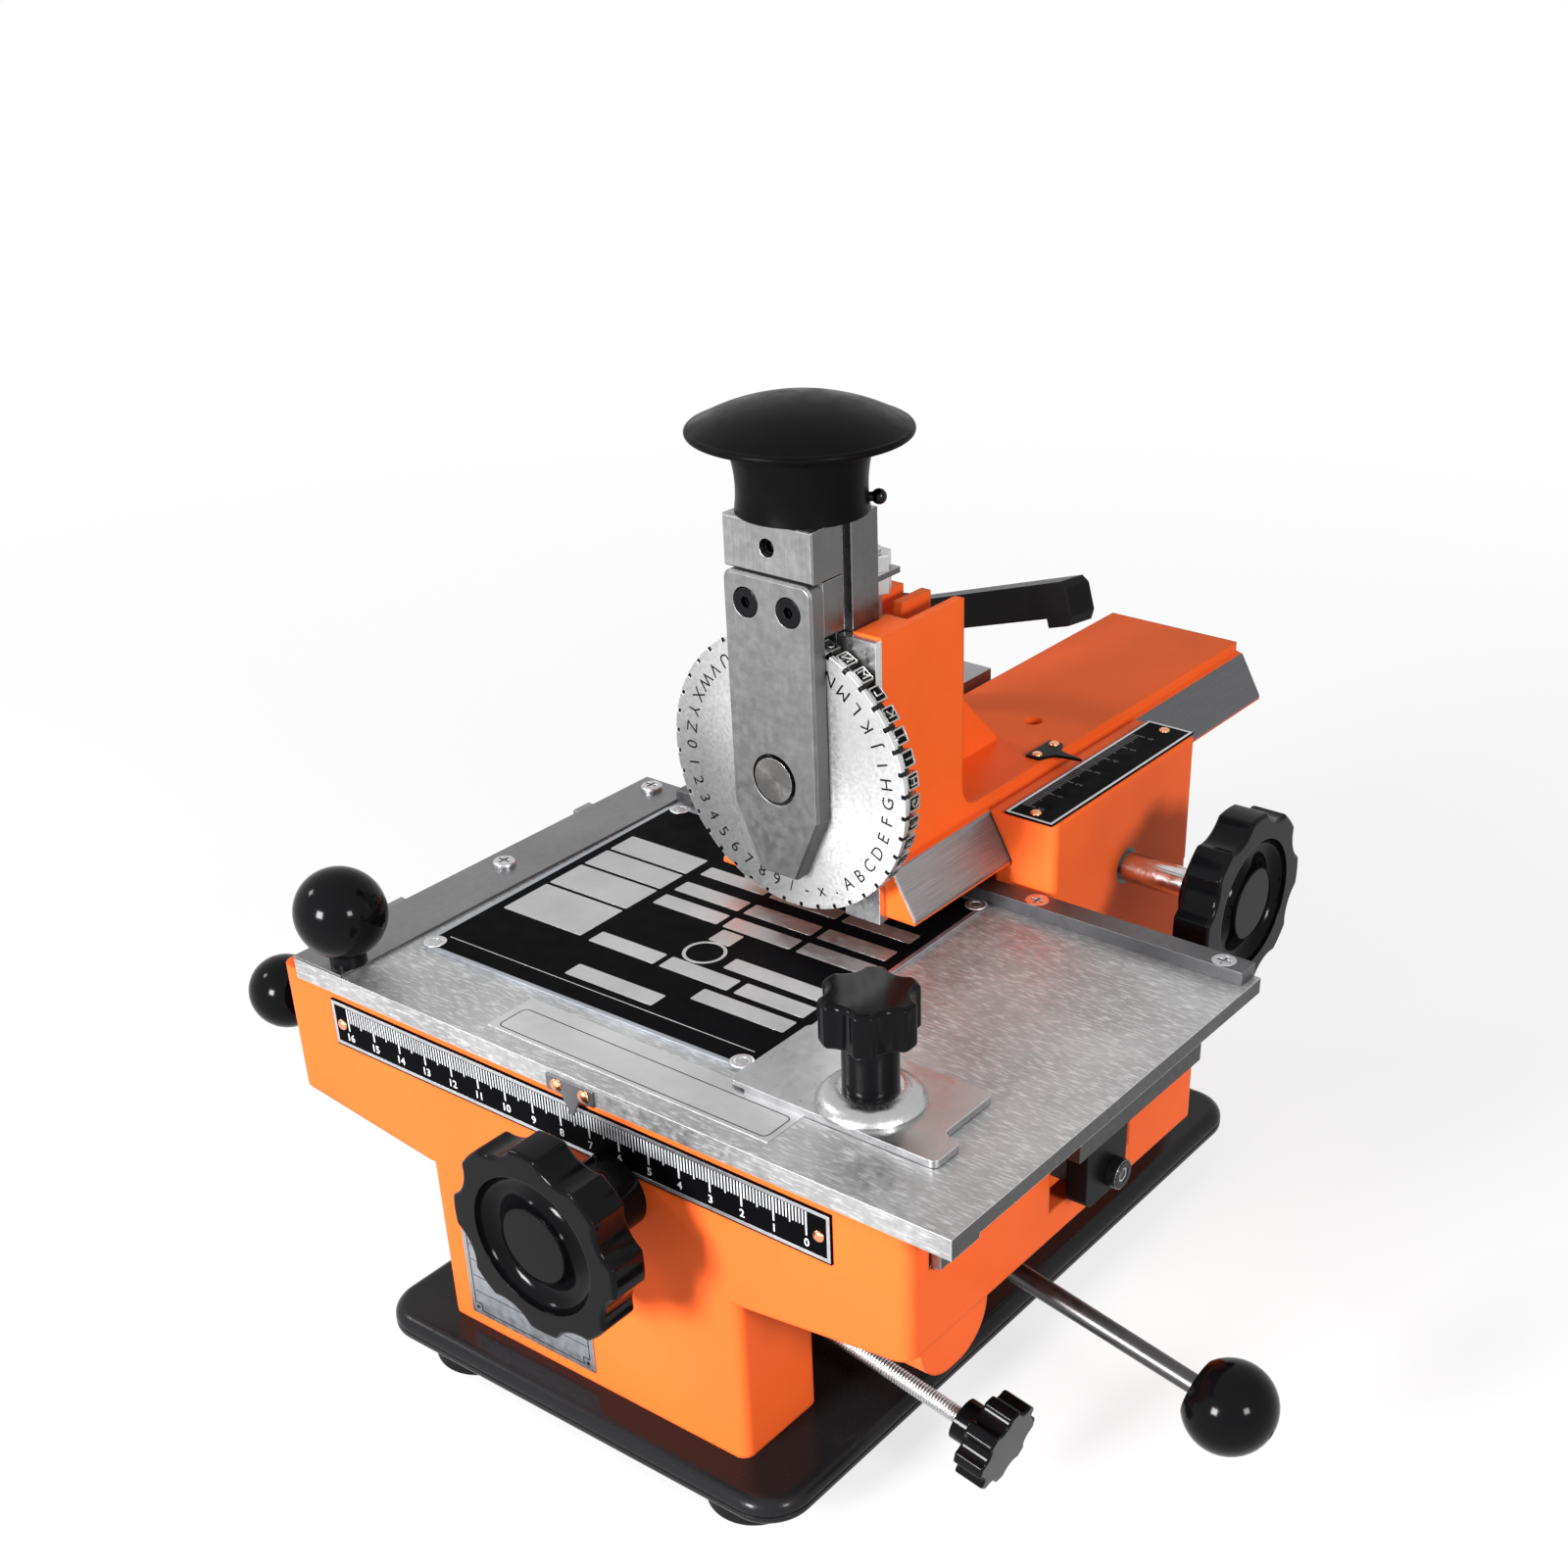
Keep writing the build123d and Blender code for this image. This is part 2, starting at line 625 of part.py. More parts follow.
def base_plate():
    """The black base: upper plate with a round shoulder, a groove, and the lower lip."""

    def slab(inset, z0, z1):
        body = block(
            -BASE_HALF + inset, BASE_HALF - inset, BASE_FRONT_Y + inset, BASE_BACK_Y - inset, z0, z1
        )
        return upright_rounded(body, BASE_CORNER - inset)

    lower_top = BASE_BOTTOM_Z + BASE_LOWER
    upper_bottom = BASE_TOP_Z - BASE_UPPER
    upper = slab(0, upper_bottom, BASE_TOP_Z)
    upper = fillet(upper.faces().sort_by(Axis.Z)[-1].edges(), BASE_SHOULDER)
    lower = slab(0, BASE_BOTTOM_Z, lower_top)
    lower = fillet(lower.faces().sort_by(Axis.Z)[0].edges(), BASE_LIP_ROUND)
    neck = slab(BASE_GROOVE_IN, lower_top, upper_bottom)
    return upper + neck + lower


def foot_places():
    """The four foot centres."""
    x = BASE_HALF - FOOT_INSET_X
    for sx in (-1, 1):
        for y in (BASE_FRONT_Y + FOOT_INSET_Y, BASE_BACK_Y - FOOT_INSET_Y):
            yield sx * x, y


def rubber_feet():
    """Four round feet under the base."""
    feet = []
    for x, y in foot_places():
        foot = rod_z(x, y, FOOT_BOTTOM_Z, BASE_BOTTOM_Z, FOOT_RADIUS)
        feet.append(fillet(foot.faces().sort_by(Axis.Z)[0].edges(), FOOT_ROUND))
    return feet


def body_box():
    """The wide upper box with sloping underside, open below, with its deck."""
    outline = [
        (BODY_LEFT_X, BODY_TOP_Z),
        (BODY_RIGHT_X, BODY_TOP_Z),
        (BODY_RIGHT_X, WING_TIP_Z),
        (COLUMN_HALF, WING_ROOT_Z),
        (-COLUMN_HALF, WING_ROOT_Z),
        (BODY_LEFT_X, WING_TIP_Z),
    ]
    box = upright_rounded(prism_y(outline, 0, BODY_BACK_Y), BODY_CORNER)
    cavity = block(
        BODY_LEFT_X + BODY_WALL,
        BODY_RIGHT_X - BODY_WALL,
        BODY_WALL,
        BODY_BACK_Y - BODY_WALL,
        WING_ROOT_Z - OVERRUN,
        DECK_BOTTOM_Z,
    )
    return box - cavity


def column_part(front, back, top):
    """An upright part of the stand with rounded corners."""
    return upright_rounded(block(-COLUMN_HALF, COLUMN_HALF, front, back, COLUMN_FOOT_Z, top), COLUMN_CORNER)


def column_hollow(front, back, top):
    """The space inside an upright part between its walls, above its closed foot."""
    inside = COLUMN_HALF - BODY_WALL
    return block(-inside, inside, front + BODY_WALL, back - BODY_WALL, COLUMN_FOOT_Z + BODY_WALL, top)


def soft_block(solid, outward):
    """A rear block with its outer upright edges and its top edges rounded, but for the inner top edge."""
    upright = solid.edges().filter_by(Axis.Z).group_by(Axis.X)[outward]
    solid = fillet(upright, REAR_BLOCK_CORNER)
    rim = solid.edges().group_by(Axis.Z)[-1].sort_by(Axis.X, reverse=outward == 0)
    return fillet(rim[1:], REAR_BLOCK_EDGE)


def right_block():
    """Right rear block with the dovetail recess."""
    gap = RUN_GAP
    profile = [
        (COLUMN_HALF, BLOCK_ROOT_Z),
        (COLUMN_HALF, BLOCK_TOP_Z),
        (HEAD_X + FLANK_TOP_HALF + gap * 2, BLOCK_TOP_Z),
        (HEAD_X + FLANK_TOP_HALF + gap * 2, FLANK_TOP_Z),
        (HEAD_X + FLANK_FOOT_HALF + gap * 2, FLANK_FOOT_Z),
        (HEAD_X + FLANK_FOOT_HALF + gap * 2, SLIDE_BOTTOM_Z - gap),
        (LEDGE_RIGHT_X, SLIDE_BOTTOM_Z - gap),
        (LEDGE_RIGHT_X, BLOCK_ROOT_Z),
    ]
    return soft_block(prism_y(profile, BLOCK_FRONT_Y, REAR_BACK_Y), -1)


def left_block():
    """Left rear block with the seat of the gib and the bearing ledge."""
    wall_x = GIB_OUT_X - RUN_GAP
    profile = [
        (-COLUMN_HALF, BLOCK_ROOT_Z),
        (-COLUMN_HALF, BLOCK_TOP_Z),
        (wall_x, BLOCK_TOP_Z),
        (wall_x, GIB_SEAT_Z),
        (GIB_FOOT_X, GIB_SEAT_Z),
        (GIB_FOOT_X, SLIDE_BOTTOM_Z - RUN_GAP),
        (LEDGE_LEFT_X, SLIDE_BOTTOM_Z - RUN_GAP),
        (LEDGE_LEFT_X, BLOCK_ROOT_Z),
    ]
    return soft_block(prism_y(profile, BLOCK_FRONT_Y, REAR_BACK_Y), 0)


def rod_frame():
    """Placement of the adjusting rod: local Z runs along the rod from its inner end."""
    slope = math.radians(ROD_SLOPE)
    length = (ROD_OUTER_X - ROD_INNER_X) / math.cos(slope)
    inner_z = ROD_OUTER_Z + (ROD_OUTER_X - ROD_INNER_X) * math.tan(slope)
    return Pos(ROD_INNER_X, ROD_Y, inner_z) * Rot(0, 90 + ROD_SLOPE, 0), length


def body_casting():
    """The painted casting: box, pillar, rear column and the two rear blocks in one piece."""
    box_back_y = BODY_BACK_Y - BODY_WALL
    rear = column_part(REAR_FRONT_Y, REAR_BACK_Y, CHANNEL_FLOOR_Z)
    rear -= block(-COLUMN_HALF, COLUMN_HALF, REAR_FRONT_Y, box_back_y, WING_ROOT_Z, CHANNEL_FLOOR_Z)
    low_front = block(
        -COLUMN_HALF, COLUMN_HALF, box_back_y, BLOCK_FRONT_Y, BODY_TOP_Z, CHANNEL_FLOOR_Z + OVERRUN
    )
    blocks = right_block() + left_block()
    lug = block(
        LUG_OUT_X - LUG_THICK, LUG_OUT_X, LUG_FRONT_Y, LUG_BACK_Y, LUG_BOTTOM_Z, WING_ROOT_Z + BODY_WALL
    )
    lug_round = (LUG_BACK_Y - LUG_FRONT_Y) * LUG_ROUND_SHARE
    lug = fillet(lug.edges().filter_by(Axis.X).group_by(Axis.Z)[0], lug_round)
    place, _ = rod_frame()
    rod_lug = block(
        ROD_INNER_X + ROD_RADIUS,
        ROD_INNER_X + ROD_RADIUS + ROD_LUG_LENGTH,
        PILLAR_BACK_Y - BODY_WALL / 2,
        ROD_Y + ROD_LUG_HALF,
        ROD_LUG_BOTTOM_Z,
        ROD_LUG_TOP_Z,
    )
    body = body_box() + column_part(0, PILLAR_BACK_Y, DECK_BOTTOM_Z) + rear
    body -= column_hollow(0, PILLAR_BACK_Y, DECK_BOTTOM_Z)
    body -= column_hollow(REAR_FRONT_Y, REAR_BACK_Y, DECK_BOTTOM_Z)
    body -= column_hollow(BODY_BACK_Y, REAR_BACK_Y, CHANNEL_FLOOR_Z - CHANNEL_FLOOR_THICK)
    body -= low_front
    body += blocks
    body += lug
    body += rod_lug
    body -= place * Cylinder(ROD_RADIUS + SHAFT_GAP, ROD_OUTER_X)
    tee_run = (BODY_LEFT_X - OVERRUN, BODY_RIGHT_X + OVERRUN)
    body -= block(*tee_run, TEE_WIDE_FRONT_Y, TEE_WIDE_BACK_Y, TEE_LEDGE_Z, BODY_TOP_Z + OVERRUN)
    body -= block(*tee_run, TEE_SLOT_FRONT_Y, TEE_SLOT_BACK_Y, TEE_SLOT_FLOOR_Z, TEE_LEDGE_Z + OVERRUN)
    groove_front = TABLE_RACK_FRONT_Y - RACK_GROOVE_GAP
    groove_back = TABLE_RACK_BACK_Y + RACK_GROOVE_GAP
    body -= block(
        *tee_run, groove_front, groove_back, TABLE_RACK_BOTTOM_Z - RACK_GROOVE_GAP, BODY_TOP_Z + OVERRUN
    )
    for y in (WAY_FRONT_Y, WAY_BACK_Y):
        body -= block(*tee_run, y, y + WAY_WIDTH, BODY_TOP_Z - WAY_DEPTH, BODY_TOP_Z + OVERRUN)
    window = PINION_RADIUS + PINION_WINDOW_GAP
    body -= block(
        HEAD_RACK_LEFT_X - PINION_WINDOW_GAP,
        HEAD_RACK_RIGHT_X + PINION_WINDOW_GAP,
        SIDE_SHAFT_Y - window,
        SIDE_SHAFT_Y + window,
        SIDE_SHAFT_Z - window,
        CHANNEL_FLOOR_Z + OVERRUN,
    )
    shaft_end = SIDE_SHAFT_END_X - OVERRUN
    body -= rod_x(SIDE_SHAFT_Y, SIDE_SHAFT_Z, shaft_end, COLUMN_HALF + OVERRUN, BUSH_SLEEVE_RADIUS)
    body -= rod_y(FRONT_SHAFT_X, FRONT_SHAFT_Z, -OVERRUN, BODY_WALL + OVERRUN, BUSH_SLEEVE_RADIUS)
    body -= rod_y(ROCKER_X, ROCKER_Z, PILLAR_BACK_Y - BODY_WALL, PILLAR_BACK_Y, ROCKER_STUD_RADIUS)
    for y in gib_screw_places():
        body -= rod_x(y, GIB_SCREW_Z, -COLUMN_HALF - OVERRUN, GIB_OUT_X, GIB_SCREW_RADIUS)
    for y in gib_bolt_places():
        foot = GIB_TOP_Z - GIB_BOLT_HEAD - GIB_BOLT_REACH
        body -= rod_z(GIB_BOLT_X, y, foot, GIB_SEAT_Z, GIB_BOLT_RADIUS)
    return body


def gib_screw_places():
    """Y places of the three gib adjusting screws."""
    middle = (BLOCK_FRONT_Y + REAR_BACK_Y) / 2
    reach = (REAR_BACK_Y - BLOCK_FRONT_Y) / 2 - GIB_SCREW_INSET_Y
    return [middle + share * reach for share in (-1, 0, 1)]


def gib_bolt_places():
    """Y places of the two bolts that hold the gib down."""
    return [BLOCK_FRONT_Y + GIB_BOLT_INSET_Y, REAR_BACK_Y - GIB_BOLT_INSET_Y]


def gib_bar():
    """The steel gib on the left of the head slide."""
    profile = [
        (GIB_OUT_X, GIB_SEAT_Z),
        (GIB_OUT_X, GIB_TOP_Z),
        (GIB_TOP_X, GIB_TOP_Z),
        (GIB_TOP_X, FLANK_TOP_Z),
        (GIB_FOOT_X - RUN_GAP, FLANK_FOOT_Z),
        (GIB_FOOT_X - RUN_GAP, GIB_SEAT_Z),
    ]
    bar = prism_y(profile, BLOCK_FRONT_Y, REAR_BACK_Y + GIB_OVERHANG)
    for y in gib_bolt_places():
        bar -= rod_z(GIB_BOLT_X, y, GIB_SEAT_Z - OVERRUN, GIB_TOP_Z, GIB_BOLT_RADIUS)
        bar -= rod_z(GIB_BOLT_X, y, GIB_TOP_Z - GIB_BOLT_HEAD, GIB_TOP_Z + OVERRUN, GIB_BOLT_HEAD_RADIUS)
    bar -= rod_z(LEVER_X, LEVER_Y, LEVER_STUD_FOOT_Z, GIB_TOP_Z + OVERRUN, LEVER_STUD_RADIUS)
    return bar


def hex_socket(x, y, z0, z1, radius):
    """A hexagonal hole along Z."""
    return Pos(x, y, z0) * extrude(RegularPolygon(radius, 6), amount=z1 - z0)


def gib_bolts():
    """Two socket bolts sunk in the gib."""
    bolts = []
    for y in gib_bolt_places():
        head_bottom = GIB_TOP_Z - GIB_BOLT_HEAD
        bolt = rod_z(GIB_BOLT_X, y, head_bottom - GIB_BOLT_REACH, head_bottom, GIB_BOLT_RADIUS)
        bolt += rod_z(GIB_BOLT_X, y, head_bottom, GIB_TOP_Z - SHAFT_GAP, GIB_BOLT_HEAD_RADIUS - SHAFT_GAP)
        bolt -= hex_socket(GIB_BOLT_X, y, GIB_TOP_Z - SOCKET_HEX_DEPTH, GIB_TOP_Z + OVERRUN, GIB_HEX)
        bolts.append(bolt)
    return bolts


def gib_adjusting_screws():
    """Three screws through the left block that push the gib."""
    screws = []
    for y in gib_screw_places():
        screw = rod_x(y, GIB_SCREW_Z, -COLUMN_HALF, GIB_OUT_X, GIB_SCREW_RADIUS)
        screw += rod_x(y, GIB_SCREW_Z, -COLUMN_HALF - GIB_SCREW_HEAD, -COLUMN_HALF, GIB_SCREW_HEAD_RADIUS)
        screws.append(screw)
    return screws


def way_strips():
    """Two steel ways let into the deck on which the table runs."""
    strips = []
    for y in (WAY_FRONT_Y, WAY_BACK_Y):
        strips.append(
            block(
                BODY_LEFT_X, BODY_RIGHT_X, y, y + WAY_WIDTH, BODY_TOP_Z - WAY_DEPTH, BODY_TOP_Z + WAY_PROUD
            )
        )
    return strips


def front_scale_plate():
    """The graduated strip on the front of the box."""
    return block(SCALE_LEFT_X, SCALE_RIGHT_X, -SCALE_THICK, 0, SCALE_BOTTOM_Z, SCALE_TOP_Z)


def scale_rivets():
    """Round-head rivets at the ends of the front scale and of the head scale."""
    rivets = []
    z = (SCALE_TOP_Z + SCALE_BOTTOM_Z) / 2
    for x in (SCALE_LEFT_X + SCALE_RIVET_INSET, SCALE_RIGHT_X - SCALE_RIVET_INSET):
        rivets.append(rod_y(x, z, -SCALE_THICK - RIVET_HEIGHT, -SCALE_THICK, RIVET_RADIUS))
    top = BLOCK_TOP_Z + HEAD_SCALE_THICK
    x = (HEAD_SCALE_LEFT_X + HEAD_SCALE_RIGHT_X) / 2
    for y in (BLOCK_FRONT_Y + HEAD_SCALE_RIVET_INSET, HEAD_SCALE_BACK_Y - HEAD_SCALE_RIVET_INSET):
        rivets.append(rod_z(x, y, top, top + RIVET_HEIGHT, RIVET_RADIUS))
    return rivets


def shaft_bushes():
    """The plain bushes of the two handwheel shafts."""
    inner = SHAFT_RADIUS + SHAFT_GAP
    front = rod_y(FRONT_SHAFT_X, FRONT_SHAFT_Z, 0, BODY_WALL, BUSH_SLEEVE_RADIUS)
    front -= rod_y(FRONT_SHAFT_X, FRONT_SHAFT_Z, -OVERRUN, BODY_WALL + OVERRUN, inner)
    side = rod_x(SIDE_SHAFT_Y, SIDE_SHAFT_Z, LEDGE_RIGHT_X, COLUMN_HALF, BUSH_SLEEVE_RADIUS)
    side -= rod_x(SIDE_SHAFT_Y, SIDE_SHAFT_Z, LEDGE_RIGHT_X - OVERRUN, COLUMN_HALF + OVERRUN, inner)
    return [front, side]


def front_pinion_shaft():
    """Shaft of the front handwheel with the pinion under the table rack."""
    wheel_front = FRONT_WHEEL_BACK_Y - HANDWHEEL_RIM
    shaft = rod_y(
        FRONT_SHAFT_X, FRONT_SHAFT_Z, wheel_front + SHAFT_IN_HUB / 2, TABLE_RACK_BACK_Y, SHAFT_RADIUS
    )
    pinion = rod_y(FRONT_SHAFT_X, FRONT_SHAFT_Z, TABLE_RACK_FRONT_Y, TABLE_RACK_BACK_Y, PINION_RADIUS)
    return shaft + pinion


def front_handwheel():
    """Handwheel on the front shaft."""
    place = Pos(FRONT_SHAFT_X, FRONT_WHEEL_BACK_Y, FRONT_SHAFT_Z) * Rot(90, 0, 0)
    wheel = place * handwheel(FRONT_BOSS_LENGTH)
    wheel_front = FRONT_WHEEL_BACK_Y - HANDWHEEL_RIM
    return wheel - rod_y(FRONT_SHAFT_X, FRONT_SHAFT_Z, wheel_front + SHAFT_IN_HUB / 2, 0, SHAFT_RADIUS)


def side_pinion_shaft():
    """Shaft of the side handwheel with the pinion under the head rack."""
    wheel_out = SIDE_WHEEL_IN_X + HANDWHEEL_RIM
    shaft = rod_x(SIDE_SHAFT_Y, SIDE_SHAFT_Z, SIDE_SHAFT_END_X, wheel_out - SHAFT_IN_HUB / 2, SHAFT_RADIUS)
    return shaft + rod_x(SIDE_SHAFT_Y, SIDE_SHAFT_Z, HEAD_RACK_LEFT_X, HEAD_RACK_RIGHT_X, PINION_RADIUS)


def side_handwheel():
    """Handwheel on the side shaft."""
    place = Pos(SIDE_WHEEL_IN_X, SIDE_SHAFT_Y, SIDE_SHAFT_Z) * Rot(0, 90, 0)
    wheel = place * handwheel(SIDE_BOSS_LENGTH)
    wheel_out = SIDE_WHEEL_IN_X + HANDWHEEL_RIM
    return wheel - rod_x(SIDE_SHAFT_Y, SIDE_SHAFT_Z, COLUMN_HALF, wheel_out - SHAFT_IN_HUB / 2, SHAFT_RADIUS)


def spec_plate():
    """The bare plate low on the front of the pillar."""
    return block(SPEC_LEFT_X, SPEC_RIGHT_X, -SPEC_THICK, 0, SPEC_BOTTOM_Z, SPEC_TOP_Z)


def head_scale_plate():
    """The graduated strip on the right rear block."""
    return block(
        HEAD_SCALE_LEFT_X,
        HEAD_SCALE_RIGHT_X,
        BLOCK_FRONT_Y,
        HEAD_SCALE_BACK_Y,
        BLOCK_TOP_Z,
        BLOCK_TOP_Z + HEAD_SCALE_THICK,
    )


def table_plate():
    """The sliding table with its front lip and the holes of its clamp and knob studs."""
    plate = block(TABLE_LEFT_X, TABLE_RIGHT_X, TABLE_FRONT_Y, TABLE_BACK_Y, TABLE_BOTTOM_Z, TABLE_TOP_Z)
    lip = block(
        TABLE_LEFT_X,
        TABLE_RIGHT_X,
        TABLE_FRONT_Y,
        TABLE_FRONT_Y + LIP_WIDTH,
        TABLE_TOP_Z - LIP_DEPTH,
        TABLE_TOP_Z,
    )
    plate += lip
    plate -= rod_z(CLAMP_STUD_X, CLAMP_STUD_Y, TABLE_BOTTOM_Z, TABLE_TOP_Z, CLAMP_STUD_RADIUS)
    for x, y in strip_screw_places():
        plate -= rod_z(x, y, TABLE_BOTTOM_Z, TABLE_TOP_Z, STRIP_SCREW_SHANK)
    return plate


def table_carriage():
    """The bar under the table that runs in the wide part of the tee channel."""
    return block(
        CARRIAGE_LEFT_X,
        CARRIAGE_RIGHT_X,
        TEE_WIDE_FRONT_Y + RUN_GAP,
        TEE_WIDE_BACK_Y - RUN_GAP,
        CARRIAGE_BOTTOM_Z,
        TABLE_BOTTOM_Z,
    )


def table_rack():
    """The rack bar under the front of the table."""
    return block(
        TABLE_RACK_LEFT_X,
        TABLE_RACK_RIGHT_X,
        TABLE_RACK_FRONT_Y,
        TABLE_RACK_BACK_Y,
        TABLE_RACK_BOTTOM_Z,
        TABLE_BOTTOM_Z,
    )


def index_bar():
    """The notched bar that runs through the tee slots."""
    return block(
        INDEX_BAR_LEFT_X,
        BRACKET_ARM_IN_X,
        INDEX_BAR_FRONT_Y,
        INDEX_BAR_BACK_Y,
        INDEX_BAR_BOTTOM_Z,
        INDEX_BAR_TOP_Z,
    )


def index_bracket():
    """The black arm that hangs from the carriage and holds the index bar."""
    arm = block(
        BRACKET_ARM_IN_X,
        BRACKET_ARM_OUT_X,
        BRACKET_ARM_FRONT_Y,
        BRACKET_ARM_BACK_Y,
        BRACKET_ARM_BOTTOM_Z,
        CARRIAGE_BOTTOM_Z,
    )
    return fillet(arm.edges().filter_by(Axis.X).group_by(Axis.Z)[0], BRACKET_ARM_ROUND)


def strip_screw_places():
    """Centres of the two side strip screws and of the two back strip screws."""
    span = TABLE_BACK_Y - TABLE_FRONT_Y
    places = [(SIDE_SCREW_X, TABLE_FRONT_Y + share * span) for share in SIDE_SCREW_YS_SHARES]
    reach = TABLE_RIGHT_X - TABLE_LEFT_X
    y = TABLE_BACK_Y - BACK_STRIP_WIDTH / 2
    places += [(TABLE_LEFT_X + share * reach, y) for share in BACK_SCREW_XS_SHARES]
    return places


def side_strip():
    """Thin steel strip along the left of the table."""
    strip = block(
        TABLE_LEFT_X, SIDE_STRIP_INNER_X, TABLE_FRONT_Y, TABLE_BACK_Y, TABLE_TOP_Z, SIDE_STRIP_TOP_Z
    )
    for x, y in strip_screw_places()[:2]:
        strip -= rod_z(x, y, TABLE_TOP_Z, SIDE_STRIP_TOP_Z, STRIP_SCREW_SHANK)
    return strip


def back_strip():
    """Steel stop strip along the back of the table."""
    top = TABLE_TOP_Z + BACK_STRIP_THICK
    strip = block(SIDE_STRIP_INNER_X, BACK_STRIP_RIGHT_X, BACK_STRIP_FRONT_Y, TABLE_BACK_Y, TABLE_TOP_Z, top)
    for x, y in strip_screw_places()[2:]:
        strip -= rod_z(x, y, TABLE_TOP_Z, top + OVERRUN, STRIP_SCREW_SHANK)
        strip -= rod_z(x, y, top - STRIP_SCREW_HEIGHT, top + OVERRUN, STRIP_SCREW_RADIUS)
    return strip


def cross_recess(x, y, z, radius):
    """A cross cut in a screw head at height z."""
    wide = radius * CROSS_WIDE_SHARE
    thin = radius * CROSS_THIN_SHARE
    depth = radius * CROSS_DEPTH_SHARE
    cross = block(x - wide, x + wide, y - thin, y + thin, z - depth, z + OVERRUN)
    return cross + block(x - thin, x + thin, y - wide, y + wide, z - depth, z + OVERRUN)


def table_screws():
    """The strip screws of the table and the screw of the index bracket."""
    screws = []
    for index, (x, y) in enumerate(strip_screw_places()):
        sunk = index >= 2
        seat = TABLE_TOP_Z + (BACK_STRIP_THICK - STRIP_SCREW_HEIGHT if sunk else SIDE_STRIP_THICK)
        head_radius = STRIP_SCREW_RADIUS - (SHAFT_GAP if sunk else 0)
        head = rod_z(x, y, seat, seat + STRIP_SCREW_HEIGHT, head_radius)
        if not sunk:
            head = fillet(head.faces().sort_by(Axis.Z)[-1].edges(), STRIP_SCREW_HEIGHT * SCREW_CROWN_SHARE)
        screw = head + rod_z(x, y, TABLE_TOP_Z - STRIP_SCREW_REACH, seat, STRIP_SCREW_SHANK)
        screws.append(screw - cross_recess(x, y, seat + STRIP_SCREW_HEIGHT, STRIP_SCREW_RADIUS))
    head = rod_x(
        ARM_SCREW_Y, ARM_SCREW_Z, BRACKET_ARM_OUT_X, BRACKET_ARM_OUT_X + ARM_SCREW_HEAD, ARM_SCREW_RADIUS
    )
    socket = Pos(BRACKET_ARM_OUT_X + ARM_SCREW_HEAD, ARM_SCREW_Y, ARM_SCREW_Z) * Rot(0, 90, 0)
    socket = socket * extrude(RegularPolygon(SOCKET_HEX, 6), amount=SOCKET_HEX_DEPTH, both=True)
    screws.append(head - socket)
    return screws


def ball(radius, flat):
    """A ball along Z with its lower end cut flat at a distance from the middle."""
    return Sphere(radius) - Pos(0, 0, -flat - radius / 2) * Cylinder(radius, radius)


def table_knob():
    """The ball knob at the front left corner of the table, with its collar."""
    knob = Pos(TABLE_BALL_X, TABLE_BALL_Y, TABLE_BALL_Z) * Sphere(BALL_RADIUS)
    collar = rod_z(TABLE_BALL_X, TABLE_BALL_Y, SIDE_STRIP_TOP_Z, TABLE_BALL_Z, TABLE_BALL_NECK_RADIUS)
    return knob + collar


def table_pointer():
    """The small pointer riveted on the front lip."""
    points = [
        (POINTER_X - POINTER_HALF, POINTER_TOP_Z),
        (POINTER_X + POINTER_HALF, POINTER_TOP_Z),
        (POINTER_X + POINTER_HALF, POINTER_SHOULDER_Z),
        (POINTER_X + POINTER_NECK_HALF, POINTER_SHOULDER_Z),
        (POINTER_X + POINTER_TIP_HALF, POINTER_TIP_Z),
        (POINTER_X - POINTER_TIP_HALF, POINTER_TIP_Z),
        (POINTER_X - POINTER_NECK_HALF, POINTER_SHOULDER_Z),
        (POINTER_X - POINTER_HALF, POINTER_SHOULDER_Z),
    ]
    return prism_y(points, TABLE_FRONT_Y - POINTER_THICK, TABLE_FRONT_Y)


def pointer_rivets():
    """Two rivets of the table pointer."""
    y = TABLE_FRONT_Y - POINTER_THICK
    return [
        rod_y(
            POINTER_X + side * POINTER_RIVET_HALF, POINTER_RIVET_Z, y - RIVET_HEIGHT, y, POINTER_RIVET_RADIUS
        )
        for side in (-1, 1)
    ]


def blank_label():
    """The bare foil label on the table."""
    return block(
        LABEL_LEFT_X, LABEL_RIGHT_X, LABEL_FRONT_Y, LABEL_BACK_Y, TABLE_TOP_Z, TABLE_TOP_Z + LABEL_THICK
    )


def nameplate_blank():
    """The metal plate that lies on the table to be marked."""
    half_w = NAMEPLATE_WIDTH / 2
    half_d = NAMEPLATE_DEPTH / 2
    plate = upright_rounded(block(-half_w, half_w, -half_d, half_d, 0, NAMEPLATE_THICK), NAMEPLATE_CORNER)
    return Pos(NAMEPLATE_X, NAMEPLATE_Y, TABLE_TOP_Z) * Rot(0, 0, NAMEPLATE_TURN) * plate


